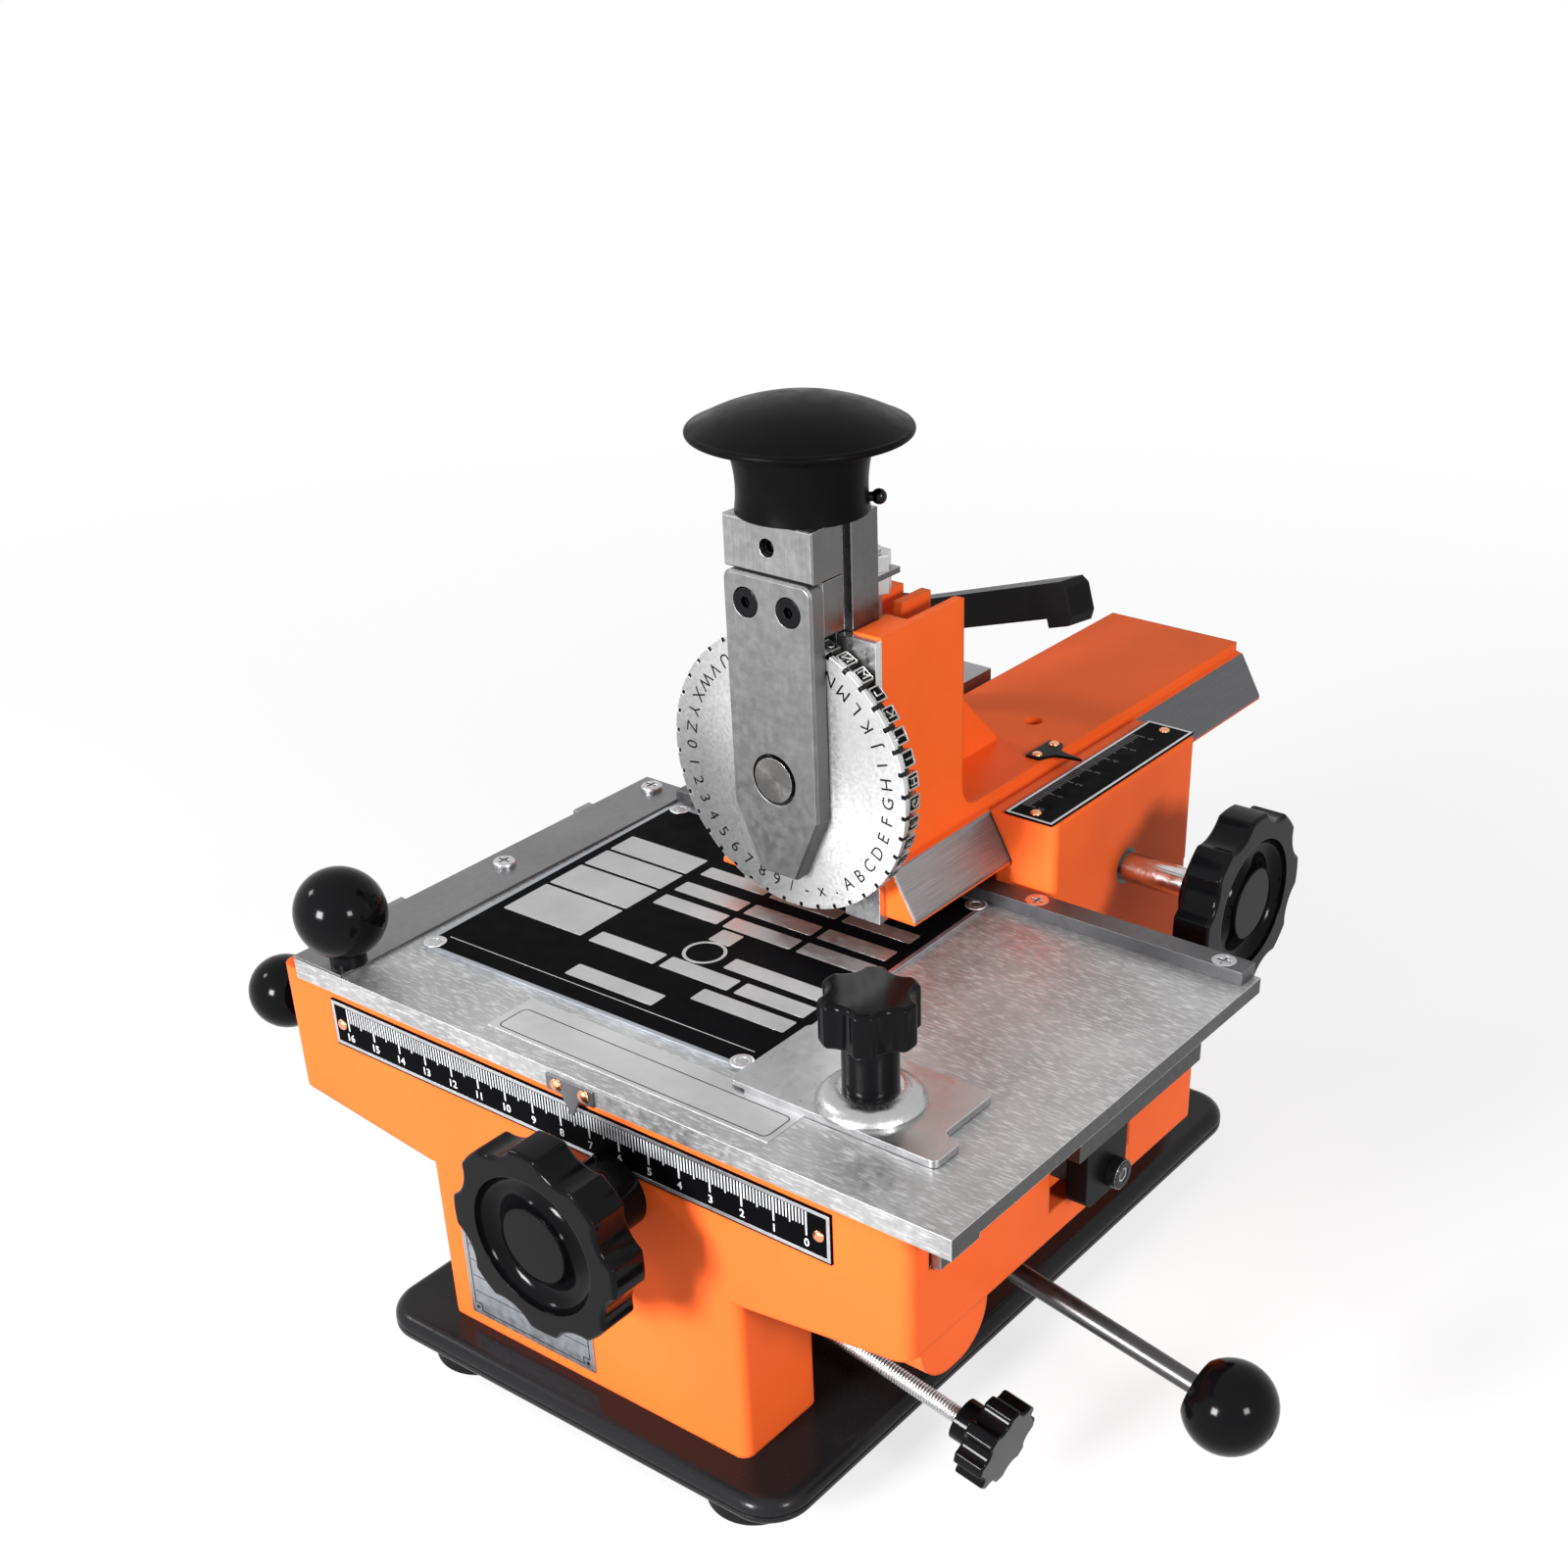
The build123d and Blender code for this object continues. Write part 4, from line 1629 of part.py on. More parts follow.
def lever_rods():
    """The two tapered rods of the rocker."""
    length = ROCKER_BALL_OUT / math.cos(math.radians(ROCKER_DROOP)) - BALL_FLAT
    rods = []
    for side in (-1, 1):
        run = length - ROCKER_HUB_RADIUS
        cone = Pos(0, 0, ROCKER_HUB_RADIUS + run / 2) * Cone(ROCKER_ROD_ROOT, ROCKER_ROD_TIP, run)
        rod = rocker_side(side) * cone
        rods.append(
            rod - rod_y(
                ROCKER_X, ROCKER_Z, ROCKER_Y - ROCKER_HUB_HALF, ROCKER_Y + ROCKER_HUB_HALF, ROCKER_HUB_RADIUS
            )
        )
    return rods


def lever_balls():
    """The two ball grips of the rocker."""
    length = ROCKER_BALL_OUT / math.cos(math.radians(ROCKER_DROOP))
    return [rocker_side(side) * Pos(0, 0, length) * ball(BALL_RADIUS, BALL_FLAT) for side in (-1, 1)]


def index_pawl():
    """The pawl under the index bar."""
    front = ROCKER_Y + ROCKER_HUB_HALF + RUN_GAP
    back = INDEX_BAR_BACK_Y
    angle = math.radians(PAWL_ANGLE)
    tip_x = PAWL_PIN_X + PAWL_LENGTH * math.cos(angle)
    tip_z = PAWL_PIN_Z + PAWL_LENGTH * math.sin(angle)
    across_x = math.sin(angle)
    across_z = -math.cos(angle)
    points = [
        (PAWL_PIN_X + PAWL_ROOT_RADIUS * across_x, PAWL_PIN_Z + PAWL_ROOT_RADIUS * across_z),
        (tip_x + PAWL_TIP_RADIUS * across_x, tip_z + PAWL_TIP_RADIUS * across_z),
        (tip_x - PAWL_TIP_RADIUS * across_x, tip_z - PAWL_TIP_RADIUS * across_z),
        (PAWL_PIN_X - PAWL_ROOT_RADIUS * across_x, PAWL_PIN_Z - PAWL_ROOT_RADIUS * across_z),
    ]
    pawl = prism_y(points, front, back) + rod_y(PAWL_PIN_X, PAWL_PIN_Z, front, back, PAWL_ROOT_RADIUS)
    return pawl - rod_y(PAWL_PIN_X, PAWL_PIN_Z, front - OVERRUN, back + OVERRUN, PAWL_PIN_RADIUS + SHAFT_GAP)


def adjusting_rod():
    """The threaded rod that runs out under the right wing."""
    place, length = rod_frame()
    return place * Pos(0, 0, length / 2) * Cylinder(ROD_RADIUS, length)


def adjusting_knob():
    """The small star knob on the threaded rod."""
    place, length = rod_frame()
    head = lobed_disc(
        ROD_KNOB_RADIUS,
        ROD_KNOB_THICK,
        HANDWHEEL_LOBES,
        ROD_KNOB_SCALLOP_RADIUS,
        ROD_KNOB_SCALLOP_DEPTH,
        ROD_KNOB_ROUND,
    )
    boss = Pos(0, 0, -ROD_KNOB_BOSS / 2) * Cylinder(ROD_KNOB_BOSS_RADIUS, ROD_KNOB_BOSS)
    start = length - ROD_KNOB_THICK / 2
    knob = place * Pos(0, 0, start) * (head + boss)
    return knob - place * Pos(0, 0, length / 2) * Cylinder(ROD_RADIUS, length)


PIECES = {
    "base_plate": base_plate,
    "rubber_feet": rubber_feet,
    "body_casting": body_casting,
    "way_strips": way_strips,
    "front_scale_plate": front_scale_plate,
    "scale_rivets": scale_rivets,
    "spec_plate": spec_plate,
    "shaft_bushes": shaft_bushes,
    "head_scale_plate": head_scale_plate,
    "gib_bar": gib_bar,
    "gib_bolts": gib_bolts,
    "gib_adjusting_screws": gib_adjusting_screws,
    "lever_stud": lever_stud,
    "rocker_pivot": rocker_pivot,
    "rocker_hub": rocker_hub,
    "lever_rods": lever_rods,
    "lever_balls": lever_balls,
    "index_pawl": index_pawl,
    "adjusting_rod": adjusting_rod,
    "adjusting_knob": adjusting_knob,
    "front_handwheel": front_handwheel,
    "front_pinion_shaft": front_pinion_shaft,
    "table_plate": table_plate,
    "table_carriage": table_carriage,
    "table_rack": table_rack,
    "index_bar": index_bar,
    "index_bracket": index_bracket,
    "side_strip": side_strip,
    "back_strip": back_strip,
    "table_screws": table_screws,
    "table_knob": table_knob,
    "table_pointer": table_pointer,
    "pointer_rivets": pointer_rivets,
    "blank_label": blank_label,
    "nameplate_blank": nameplate_blank,
    "clamp_plate": clamp_plate,
    "clamp_stud": clamp_stud,
    "dome_washer": dome_washer,
    "clamp_star_knob": clamp_star_knob,
    "head_casting": head_casting,
    "head_rack": head_rack,
    "head_pointer": head_pointer,
    "head_pointer_rivets": head_pointer_rivets,
    "cover_gibs": cover_gibs,
    "cover_screws": cover_screws,
    "stop_sleeve": stop_sleeve,
    "detent_knob": detent_knob,
    "side_handwheel": side_handwheel,
    "side_pinion_shaft": side_pinion_shaft,
    "ram_slide": ram_slide,
    "ram_block": ram_block,
    "ram_screws": ram_screws,
    "wheel_bracket": wheel_bracket,
    "press_knob": press_knob,
    "hub_pin": hub_pin,
    "stop_stud": stop_stud,
    "return_spring": return_spring,
    "type_wheel": type_wheel,
    "clamp_lever": clamp_lever,
}


def main():
    """Build every piece and write one STEP file for each node."""
    os.makedirs("parts", exist_ok=True)
    to_origin = Pos(-ORIGIN_X, -ORIGIN_Y, -ORIGIN_Z)
    for name, make in PIECES.items():
        made = make()
        solids = made if isinstance(made, list) else [made]
        placed = [to_origin * solid for solid in solids]
        shape = placed[0] if len(placed) == 1 else Compound(children=placed)
        export_step(shape, f"parts/{name}.step")


main()
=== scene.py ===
"""Looks of a hand-operated nameplate marking machine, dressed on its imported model.

Sizes are millimetres in the maker's frame: X to the operator's right, Y to the back from the front face of
the body, Z up from the foot of the division lines of the front scale. Draft.piece turns them into metres in
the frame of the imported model.
"""
import logging
import math
from collections.abc import Callable, Iterable, Sequence
from dataclasses import dataclass, field
from enum import Enum

import bmesh
import bpy
from mathutils import Matrix, Vector


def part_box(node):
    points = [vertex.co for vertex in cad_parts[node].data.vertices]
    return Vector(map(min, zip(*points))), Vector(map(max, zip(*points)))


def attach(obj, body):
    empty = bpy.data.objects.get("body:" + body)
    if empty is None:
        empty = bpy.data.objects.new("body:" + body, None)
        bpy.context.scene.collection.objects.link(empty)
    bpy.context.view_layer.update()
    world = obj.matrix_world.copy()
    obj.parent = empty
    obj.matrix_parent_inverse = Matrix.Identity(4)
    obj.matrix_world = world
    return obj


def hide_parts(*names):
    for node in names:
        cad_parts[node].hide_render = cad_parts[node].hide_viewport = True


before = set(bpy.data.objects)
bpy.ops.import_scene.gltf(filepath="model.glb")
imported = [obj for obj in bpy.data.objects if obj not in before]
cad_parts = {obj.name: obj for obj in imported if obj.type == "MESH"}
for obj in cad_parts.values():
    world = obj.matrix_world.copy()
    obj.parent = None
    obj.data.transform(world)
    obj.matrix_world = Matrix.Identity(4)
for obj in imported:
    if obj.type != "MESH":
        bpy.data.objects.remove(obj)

Point = tuple[float, float, float]
Flat = tuple[float, float]
Colour = tuple[float, float, float]
Limits = tuple[float, float, float, float]
Socket = bpy.types.NodeSocket
Tint = Colour | Socket

LOG = logging.getLogger("marking_machine")
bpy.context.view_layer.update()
ORIGIN = Vector((-16.0, 129.9, -104.0))
METRES = 0.001
HEAD_X = 7.0
WHEEL_HUB = (HEAD_X, 86.4, 67.3)
PIN_END = (HEAD_X, 81.0, 67.3)
WASHER_SEAT = (76.8, 29.5, 20.0)
CAPITAL_SHARE = 0.72
BEVEL_SAMPLES = 4
EDGE_SHARP = 0.88
EDGE_SMOOTH = 0.995

# How fine the noise on the finishes is, in features to the metre
BROAD = 22
CLOUDY = 38
SLOW = 45
SOFT = 60
WIPED = 160
MOTTLED = 420
GRITTY = 900
DUSTY = 1500
FINE = 2200


def row(x: float, y: float, z: float) -> Vector:
    """Returns a point of the maker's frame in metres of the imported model's frame."""
    return (Vector((x, y, z)) - ORIGIN) * METRES


def facing(origin: Point, right: Point, up: Point) -> Matrix:
    """Sets up a drawing plane in the maker's frame.

    Args:
        origin: Where the plane's own origin lies.
        right: The direction of its first axis.
        up: The direction of its second axis; the third points out of the plane.

    Returns:
        The matrix from the plane's own millimetres to the maker's.
    """
    across, along = Vector(right).normalized(), Vector(up).normalized()
    turn = Matrix((across, along, across.cross(along))).transposed()
    return Matrix.Translation(origin) @ turn.to_4x4()


def front_plane(x: float, z: float, y: float) -> Matrix:
    """Returns a drawing plane that faces the operator, with its origin at that point."""
    return facing((x, y, z), (1, 0, 0), (0, 0, 1))


def top_plane(x: float, y: float, z: float) -> Matrix:
    """Returns a drawing plane that faces up, with its origin at that point."""
    return facing((x, y, z), (1, 0, 0), (0, 1, 0))


def side_plane(y: float, z: float, x: float) -> Matrix:
    """Returns a drawing plane that faces right, with its origin at that point."""
    return facing((x, y, z), (0, 1, 0), (0, 0, 1))


def polar(radius: float, turn: float) -> Flat:
    """Returns the point at that radius and angle in radians."""
    return (radius * math.cos(turn), radius * math.sin(turn))


def circle(radius: float, steps: int, start: float = 0.0) -> list[Flat]:
    """Returns the outline of a circle of that many facets, its first point at that angle in radians."""
    return [polar(radius, start + 2 * math.pi * step / steps) for step in range(steps)]


def rectangle(x0: float, x1: float, y0: float, y1: float, inset: float = 0.0) -> list[Flat]:
    """Returns the outline of a rectangle between those limits, drawn in by the inset."""
    x0, x1, y0, y1 = x0 + inset, x1 - inset, y0 + inset, y1 - inset
    return [(x0, y0), (x1, y0), (x1, y1), (x0, y1)]


def rounded(x0: float, x1: float, y0: float, y1: float, radius: float, steps: int = 6) -> list[Flat]:
    """Draws a rectangle with round corners.

    Args:
        x0: Its left side.
        x1: Its right side.
        y0: Its lower side.
        y1: Its upper side.
        radius: The radius of its corners.
        steps: How many facets a corner has.

    Returns:
        Its outline.
    """
    left, right, low, high = x0 + radius, x1 - radius, y0 + radius, y1 - radius
    outline = []
    for quarter, (cx, cy) in enumerate(((right, high), (left, high), (left, low), (right, low))):
        for step in range(steps + 1):
            x, y = polar(radius, math.pi / 2 * (quarter + step / steps))
            outline.append((cx + x, cy + y))
    return outline


def dome(radius: float, rise: float, steps: int = 6) -> list[Flat]:
    """Returns the profile of a domed head, as pairs of radius and height from the rim to the crown."""
    turns = [math.pi / 2 * step / steps for step in range(steps)]
    return [(radius * math.cos(turn), rise * math.sin(turn)) for turn in turns] + [(0.0, rise)]


class Wiring:
    """A hand for drawing the nodes of one tree."""

    def __init__(self, tree: bpy.types.NodeTree) -> None:
        """Starts on that tree."""
        self.tree = tree

    def node(self, kind: str, *inputs: object, **settings: object) -> bpy.types.Node:
        """Adds a node.

        Args:
            kind: The node's type, without its ShaderNode prefix.
            *inputs: What its inputs get in order: a value, another node's output, or None to leave one.
            **settings: Its own settings by name.

        Returns:
            The node.
        """
        made = self.tree.nodes.new("ShaderNode" + kind)
        for name, value in settings.items():
            setattr(made, name, value)
        for socket, value in zip(made.inputs, inputs):
            self.feed(socket, value)
        return made

    def feed(self, socket: Socket, value: object) -> None:
        """Gives an input a value or another node's output.

        Args:
            socket: The input.
            value: The value or output, or None to leave the input as it is.
        """
        if isinstance(value, Socket):
            self.tree.links.new(value, socket)
        elif value is not None:
            socket.default_value = value

    def number(self, operation: str, *inputs: object) -> Socket:
        """Returns the result of a sum of the named kind on its inputs."""
        return self.node("Math", *inputs, operation=operation).outputs[0]

    def span(
        self, value: Socket, low: float, high: float, start: float = 0.3, stop: float = 0.7
    ) -> Socket:
        """Returns a value that goes from low to high while the given one goes from start to stop."""
        return self.node("MapRange", value, start, stop, low, high).outputs[0]


class Sketch(Wiring):
    """A hand for drawing the nodes of one material."""

    def __init__(self, name: str) -> None:
        """Starts a material.

        Args:
            name: Its name.
        """
        self.made = bpy.data.materials.new(name)
        self.made.use_nodes = True
        super().__init__(self.made.node_tree)
        self.surface = self.tree.nodes["Principled BSDF"]
        self.place = self.node("TexCoord").outputs["Object"]

    def grain(
        self, scale: float, detail: float = 2.0, stretch: Point = (1, 1, 1), turn: Point = (0, 0, 0)
    ) -> Socket:
        """Returns noise from 0 to 1, of so many features to the metre, with its axes stretched and turned."""
        at = self.node("Mapping", self.place, None, turn, stretch).outputs[0]
        return self.node("TexNoise", at, None, scale, detail, 0.55).outputs["Fac"]

    def mix(self, share: Socket, first: Tint, second: Tint) -> Socket:
        """Returns the mix of two colours, the share saying how much of the second one shows."""
        colours = [part if isinstance(part, Socket) else (*part, 1) for part in (first, second)]
        return self.node("Mix", share, *[None] * 5, *colours, data_type="RGBA").outputs[2]

    def edges(self, radius: float) -> Socket:
        """Finds the sharp edges of the piece.

        Args:
            radius: How far from an edge it reaches, in millimetres.

        Returns:
            A value that is 1 on an edge and 0 away from it.
        """
        soft = self.node("Bevel", radius * METRES, samples=BEVEL_SAMPLES).outputs[0]
        true = self.node("NewGeometry").outputs["Normal"]
        same = self.node("VectorMath", soft, true, operation="DOT_PRODUCT").outputs["Value"]
        return self.span(same, 1.0, 0.0, EDGE_SHARP, EDGE_SMOOTH)

    def relief(self, depth: float, *layers: tuple[Socket, float], edge: float = 0.25) -> None:
        """Gives the surface its fine relief.

        Args:
            depth: The depth of a full step in millimetres.
            *layers: Pairs of a height and how strongly it shows.
            edge: The radius in millimetres to which sharp edges look rounded.
        """
        normal = self.node("Bevel", edge * METRES, samples=BEVEL_SAMPLES).outputs[0]
        for height, strength in layers:
            normal = self.node("Bump", strength, depth * METRES, None, height, normal).outputs[0]
        self.set("Normal", normal)

    def set(self, name: str, value: object) -> None:
        """Gives the named input of the surface a value or another node's output."""
        self.feed(self.surface.inputs[name], value)


@dataclass(frozen=True)
class Finish:
    """What every finish has.

    Attributes:
        name: The name of its material.
        colour: Its colour, linear.
        rough: How rough it is.
    """

    name: str
    colour: Colour
    rough: float

    def material(self) -> bpy.types.Material:
        """Makes the material of this finish, or finds it if it was made before.

        Its name has a prefix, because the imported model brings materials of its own.

        Returns:
            The material.
        """
        title = f"finish_{self.name}"
        known = bpy.data.materials.get(title)
        if known is not None:
            return known
        sketch = Sketch(title)
        self.draw(sketch)
        return sketch.made

    def draw(self, sketch: Sketch) -> None:
        """Draws the finish on that sketch."""
        raise NotImplementedError

    def shade(self, share: float) -> Colour:
        """Returns the colour made lighter or darker by that share."""
        return tuple(min(1.0, part * share) for part in self.colour)


@dataclass(frozen=True)
class Paint(Finish):
    """Sprayed paint on a casting or on sheet.

    Attributes:
        gloss: How strongly its clear top layer shines.
        peel: How deep its orange peel is, in millimetres.
        shine: How strongly the paint itself mirrors; 0.5 is common plastic.
        soft: The radius in millimetres to which its edges look rounded.
    """

    gloss: float = 0.4
    peel: float = 0.05
    shine: float = 0.25
    soft: float = 0.8

    def draw(self, sketch: Sketch) -> None:
        """Draws slow changes of colour, orange peel, and lighter edges that are thin paint and a painted
        highlight.

        Args:
            sketch: Where it is drawn.
        """
        broad = sketch.grain(BROAD, 3)
        peel = sketch.grain(MOTTLED, 2)
        dust = sketch.grain(DUSTY, 4)
        body = sketch.mix(sketch.span(broad, 0, 1), self.shade(0.93), self.shade(1.05))
        # Lighter edges: thin paint, and a painted highlight on the rounded edges.
        sketch.set("Base Color", sketch.mix(sketch.edges(0.9), body, self.shade(1.25)))
        sketch.set("Roughness", sketch.span(dust, self.rough - 0.05, self.rough + 0.09))
        sketch.set("Specular IOR Level", self.shine)
        sketch.set("Coat Weight", self.gloss)
        sketch.set("Coat Roughness", 0.14)
        sketch.relief(self.peel, (peel, 0.35), (dust, 0.08), edge=self.soft)


@dataclass(frozen=True)
class SlidePaint(Paint):
    """Paint that leaves the dovetail flanks and the sole of the head bare.

    Attributes:
        bare: The colour of the bare metal at the back.
        worn: Its colour at the front, where it is rubbed bright.
        top_half: Half the width of the flanks at their top, in millimetres.
        top_z: Where the flanks start.
        lean: How much wider they get for each millimetre down.
        inset: How far the bare metal reaches in over the edge of the flanks.
        wear: Where along Y the rubbed metal starts to darken, and where it is dark.
    """

    bare: Colour = (0.13, 0.13, 0.14)
    worn: Colour = (0.36, 0.34, 0.34)
    top_half: float = 26.4
    top_z: float = 41.4
    lean: float = 0.578
    inset: float = 0.5
    wear: Flat = (110.0, 200.0)

    def draw(self, sketch: Sketch) -> None:
        """Draws the paint, and the bare metal by its place.

        Args:
            sketch: Where it is drawn.
        """
        Paint.draw(self, sketch)
        x, y, z = sketch.node("SeparateXYZ", sketch.place).outputs
        off = sketch.number("ABSOLUTE", sketch.number("SUBTRACT", x, (HEAD_X - ORIGIN.x) * METRES))
        below = sketch.number("SUBTRACT", (self.top_z - ORIGIN.z) * METRES, z)
        flank = sketch.number("MULTIPLY_ADD", below, self.lean, (self.top_half - self.inset) * METRES)
        outside = sketch.number("GREATER_THAN", off, flank)
        lower = sketch.number("GREATER_THAN", below, 0.0)
        share = sketch.number("MULTIPLY", outside, lower)
        lines = sketch.grain(1.0, 5, (4000, 60, 4000))
        front, back = (row(0, place, 0).y for place in self.wear)
        metal = sketch.mix(sketch.span(y, 0, 1, front, back), self.worn, self.bare)
        metal = sketch.mix(sketch.span(lines, 0, 0.5), metal, tuple(0.6 * part for part in self.bare))
        painted = sketch.surface.inputs["Base Color"].links[0].from_socket
        sketch.set("Base Color", sketch.mix(share, painted, metal))
        sketch.set("Metallic", sketch.number("MULTIPLY", share, 0.9))


class Brush(Enum):
    """The way in which a metal was rubbed, as the stretch of its lines along the axes."""

    ALONG_X = (30.0, 2600.0, 2600.0)
    ALONG_Y = (2600.0, 30.0, 2600.0)
    ALONG_Z = (2600.0, 2600.0, 30.0)
    CAST = (900.0, 900.0, 900.0)


@dataclass(frozen=True)
class Metal(Finish):
    """Bare metal with rubbed lines, clouds, scratches, and bright edges that are a painted highlight.

    Attributes:
        brush: Which way it was rubbed.
        lines: How strongly the lines show.
        cloud: How much darker its cloudy spots are.
        scratch: How strongly stray scratches show.
        speckle: How strongly short bright flecks show.
        flank: How much darker its sides are than its face, as painted shade on the faces that look along X.
    """

    brush: Brush = Brush.ALONG_X
    lines: float = 0.25
    cloud: float = 0.12
    scratch: float = 0.3
    speckle: float = 0.0
    flank: float = 0.0

    def draw(self, sketch: Sketch) -> None:
        """Draws the lines, clouds, scratches, the painted shade on the sides, and the edges lightened as a
        painted highlight.

        Args:
            sketch: Where it is drawn.
        """
        rubbed = sketch.grain(1.0, 4, self.brush.value)
        clouds = sketch.grain(CLOUDY, 4)
        mottle = sketch.grain(MOTTLED, 3)
        fine = sketch.grain(1.0, 2, (18, 3600, 900), (0, 0, 0.5))
        stray = sketch.grain(1.0, 2, (3600, 16, 900), (0, 0, 0.35))
        marks = sketch.number(
            "MAXIMUM", sketch.span(fine, 0, 1, 0.72, 0.78), sketch.span(stray, 0, 1, 0.73, 0.79)
        )
        darker, lighter = self.shade(1 - self.cloud), self.shade(1 + self.cloud)
        ground = sketch.mix(sketch.span(clouds, 0, 1), darker, lighter)
        ground = sketch.mix(sketch.span(rubbed, 0, self.lines), ground, self.shade(0.72))
        ground = sketch.mix(sketch.number("MULTIPLY", marks, self.scratch), ground, self.shade(1.45))
        if self.speckle:
            dashes = sketch.grain(1.0, 3, (240, 1500, 1500), (0, 0, 0.1))
            flecks = sketch.span(dashes, 0, self.speckle, 0.52, 0.62)
            ground = sketch.mix(flecks, ground, self.shade(1.55))
        # Painted shade: the faces that look along X are darkened by the flank share.
        if self.flank:
            normal = sketch.node("NewGeometry").outputs["True Normal"]
            across = sketch.node("SeparateXYZ", normal).outputs[0]
            side = sketch.span(sketch.number("ABSOLUTE", across), 0, self.flank, 0.6, 0.8)
            ground = sketch.mix(side, ground, self.shade(0.1))
        # Painted highlight: the edges are lightened.
        sketch.set("Base Color", sketch.mix(sketch.edges(0.35), ground, self.shade(1.5)))
        sketch.set("Metallic", 1.0)
        sketch.set("Roughness", sketch.span(mottle, self.rough - 0.07, self.rough + 0.07))
        sketch.relief(0.02, (rubbed, self.lines), (mottle, 0.12), edge=0.3)


@dataclass(frozen=True)
class TurnedMetal(Finish):
    """Metal with the rings that a lathe or a facing cut leaves.

    Attributes:
        centre: A point on the axis, in the maker's frame.
        axis: The index of the axis of the rings.
        rings: Rings to the metre.
        show: How strongly they show.
        fan: How far its gloss is drawn out across the rings.
        turn: How much darker its left side is than its right, as painted shade.
        turn_from: Where the painted shade on the left side ends at full strength and where it has faded out,
            from the axis.
    """

    centre: Point = (0, 0, 0)
    axis: int = 1
    rings: float = 1800.0
    show: float = 0.3
    fan: float = 0.5
    turn: float = 0.0
    turn_from: Flat = (-30.0, 18.0)

    def draw(self, sketch: Sketch) -> None:
        """Draws rings about the axis, a soft change round it, a painted shade on its left side where turn
        asks for one, and bright edges.

        Args:
            sketch: Where it is drawn.
        """
        away = sketch.node(
            "VectorMath", sketch.place, tuple(row(*self.centre)), operation="SUBTRACT"
        ).outputs["Vector"]
        parts = sketch.node("SeparateXYZ", away).outputs
        sides = [part for index, part in enumerate(parts) if index != self.axis]
        square = sketch.number("MULTIPLY", sides[0], sides[0])
        radius = sketch.number("SQRT", sketch.number("MULTIPLY_ADD", sides[1], sides[1], square))
        ring = sketch.node("TexNoise", None, radius, self.rings, 3.0, noise_dimensions="1D").outputs["Fac"]
        soft = sketch.grain(SOFT, 3)
        grit = sketch.grain(GRITTY, 3)
        ground = sketch.mix(sketch.span(soft, 0, 1), self.shade(0.94), self.shade(1.05))
        ground = sketch.mix(sketch.span(ring, 0, self.show), ground, self.shade(0.7))
        # Painted shade: the left side of the face is darkened.
        if self.turn:
            dark, light = (place * METRES for place in self.turn_from)
            left = sketch.span(sides[0], self.turn, 0.0, dark, light)
            ground = sketch.mix(left, ground, self.shade(0.12))
        # Painted highlight: the edges are lightened.
        sketch.set("Base Color", sketch.mix(sketch.edges(0.3), ground, self.shade(1.4)))
        sketch.set("Metallic", 1.0)
        sketch.set("Roughness", sketch.span(grit, self.rough - 0.05, self.rough + 0.08))
        sketch.set("Anisotropic", self.fan)
        round_axis = sketch.node("Tangent", direction_type="RADIAL", axis="XYZ"[self.axis])
        sketch.set("Tangent", round_axis.outputs[0])
        sketch.relief(0.02, (ring, self.show), (grit, 0.1), edge=0.2)


@dataclass(frozen=True)
class Plastic(Finish):
    """Moulded plastic or rubber, or a flat printed layer.

    Attributes:
        shine: How strongly it mirrors; 0.5 is common plastic.
        wave: How deep its moulded waviness is, in millimetres.
    """

    shine: float = 0.5
    wave: float = 0.04

    def draw(self, sketch: Sketch) -> None:
        """Draws a faint change of colour, handling marks in the gloss, and a slow wave.

        Args:
            sketch: Where it is drawn.
        """
        slow = sketch.grain(SLOW, 2)
        wipe = sketch.grain(WIPED, 4)
        grit = sketch.grain(FINE, 2)
        sketch.set("Base Color", sketch.mix(sketch.span(slow, 0, 1), self.shade(0.85), self.shade(1.2)))
        sketch.set("Roughness", sketch.span(wipe, self.rough * 0.8, self.rough * 1.35))
        sketch.set("Specular IOR Level", self.shine)
        sketch.relief(self.wave, (slow, 0.25), (grit, 0.03), edge=0.4)


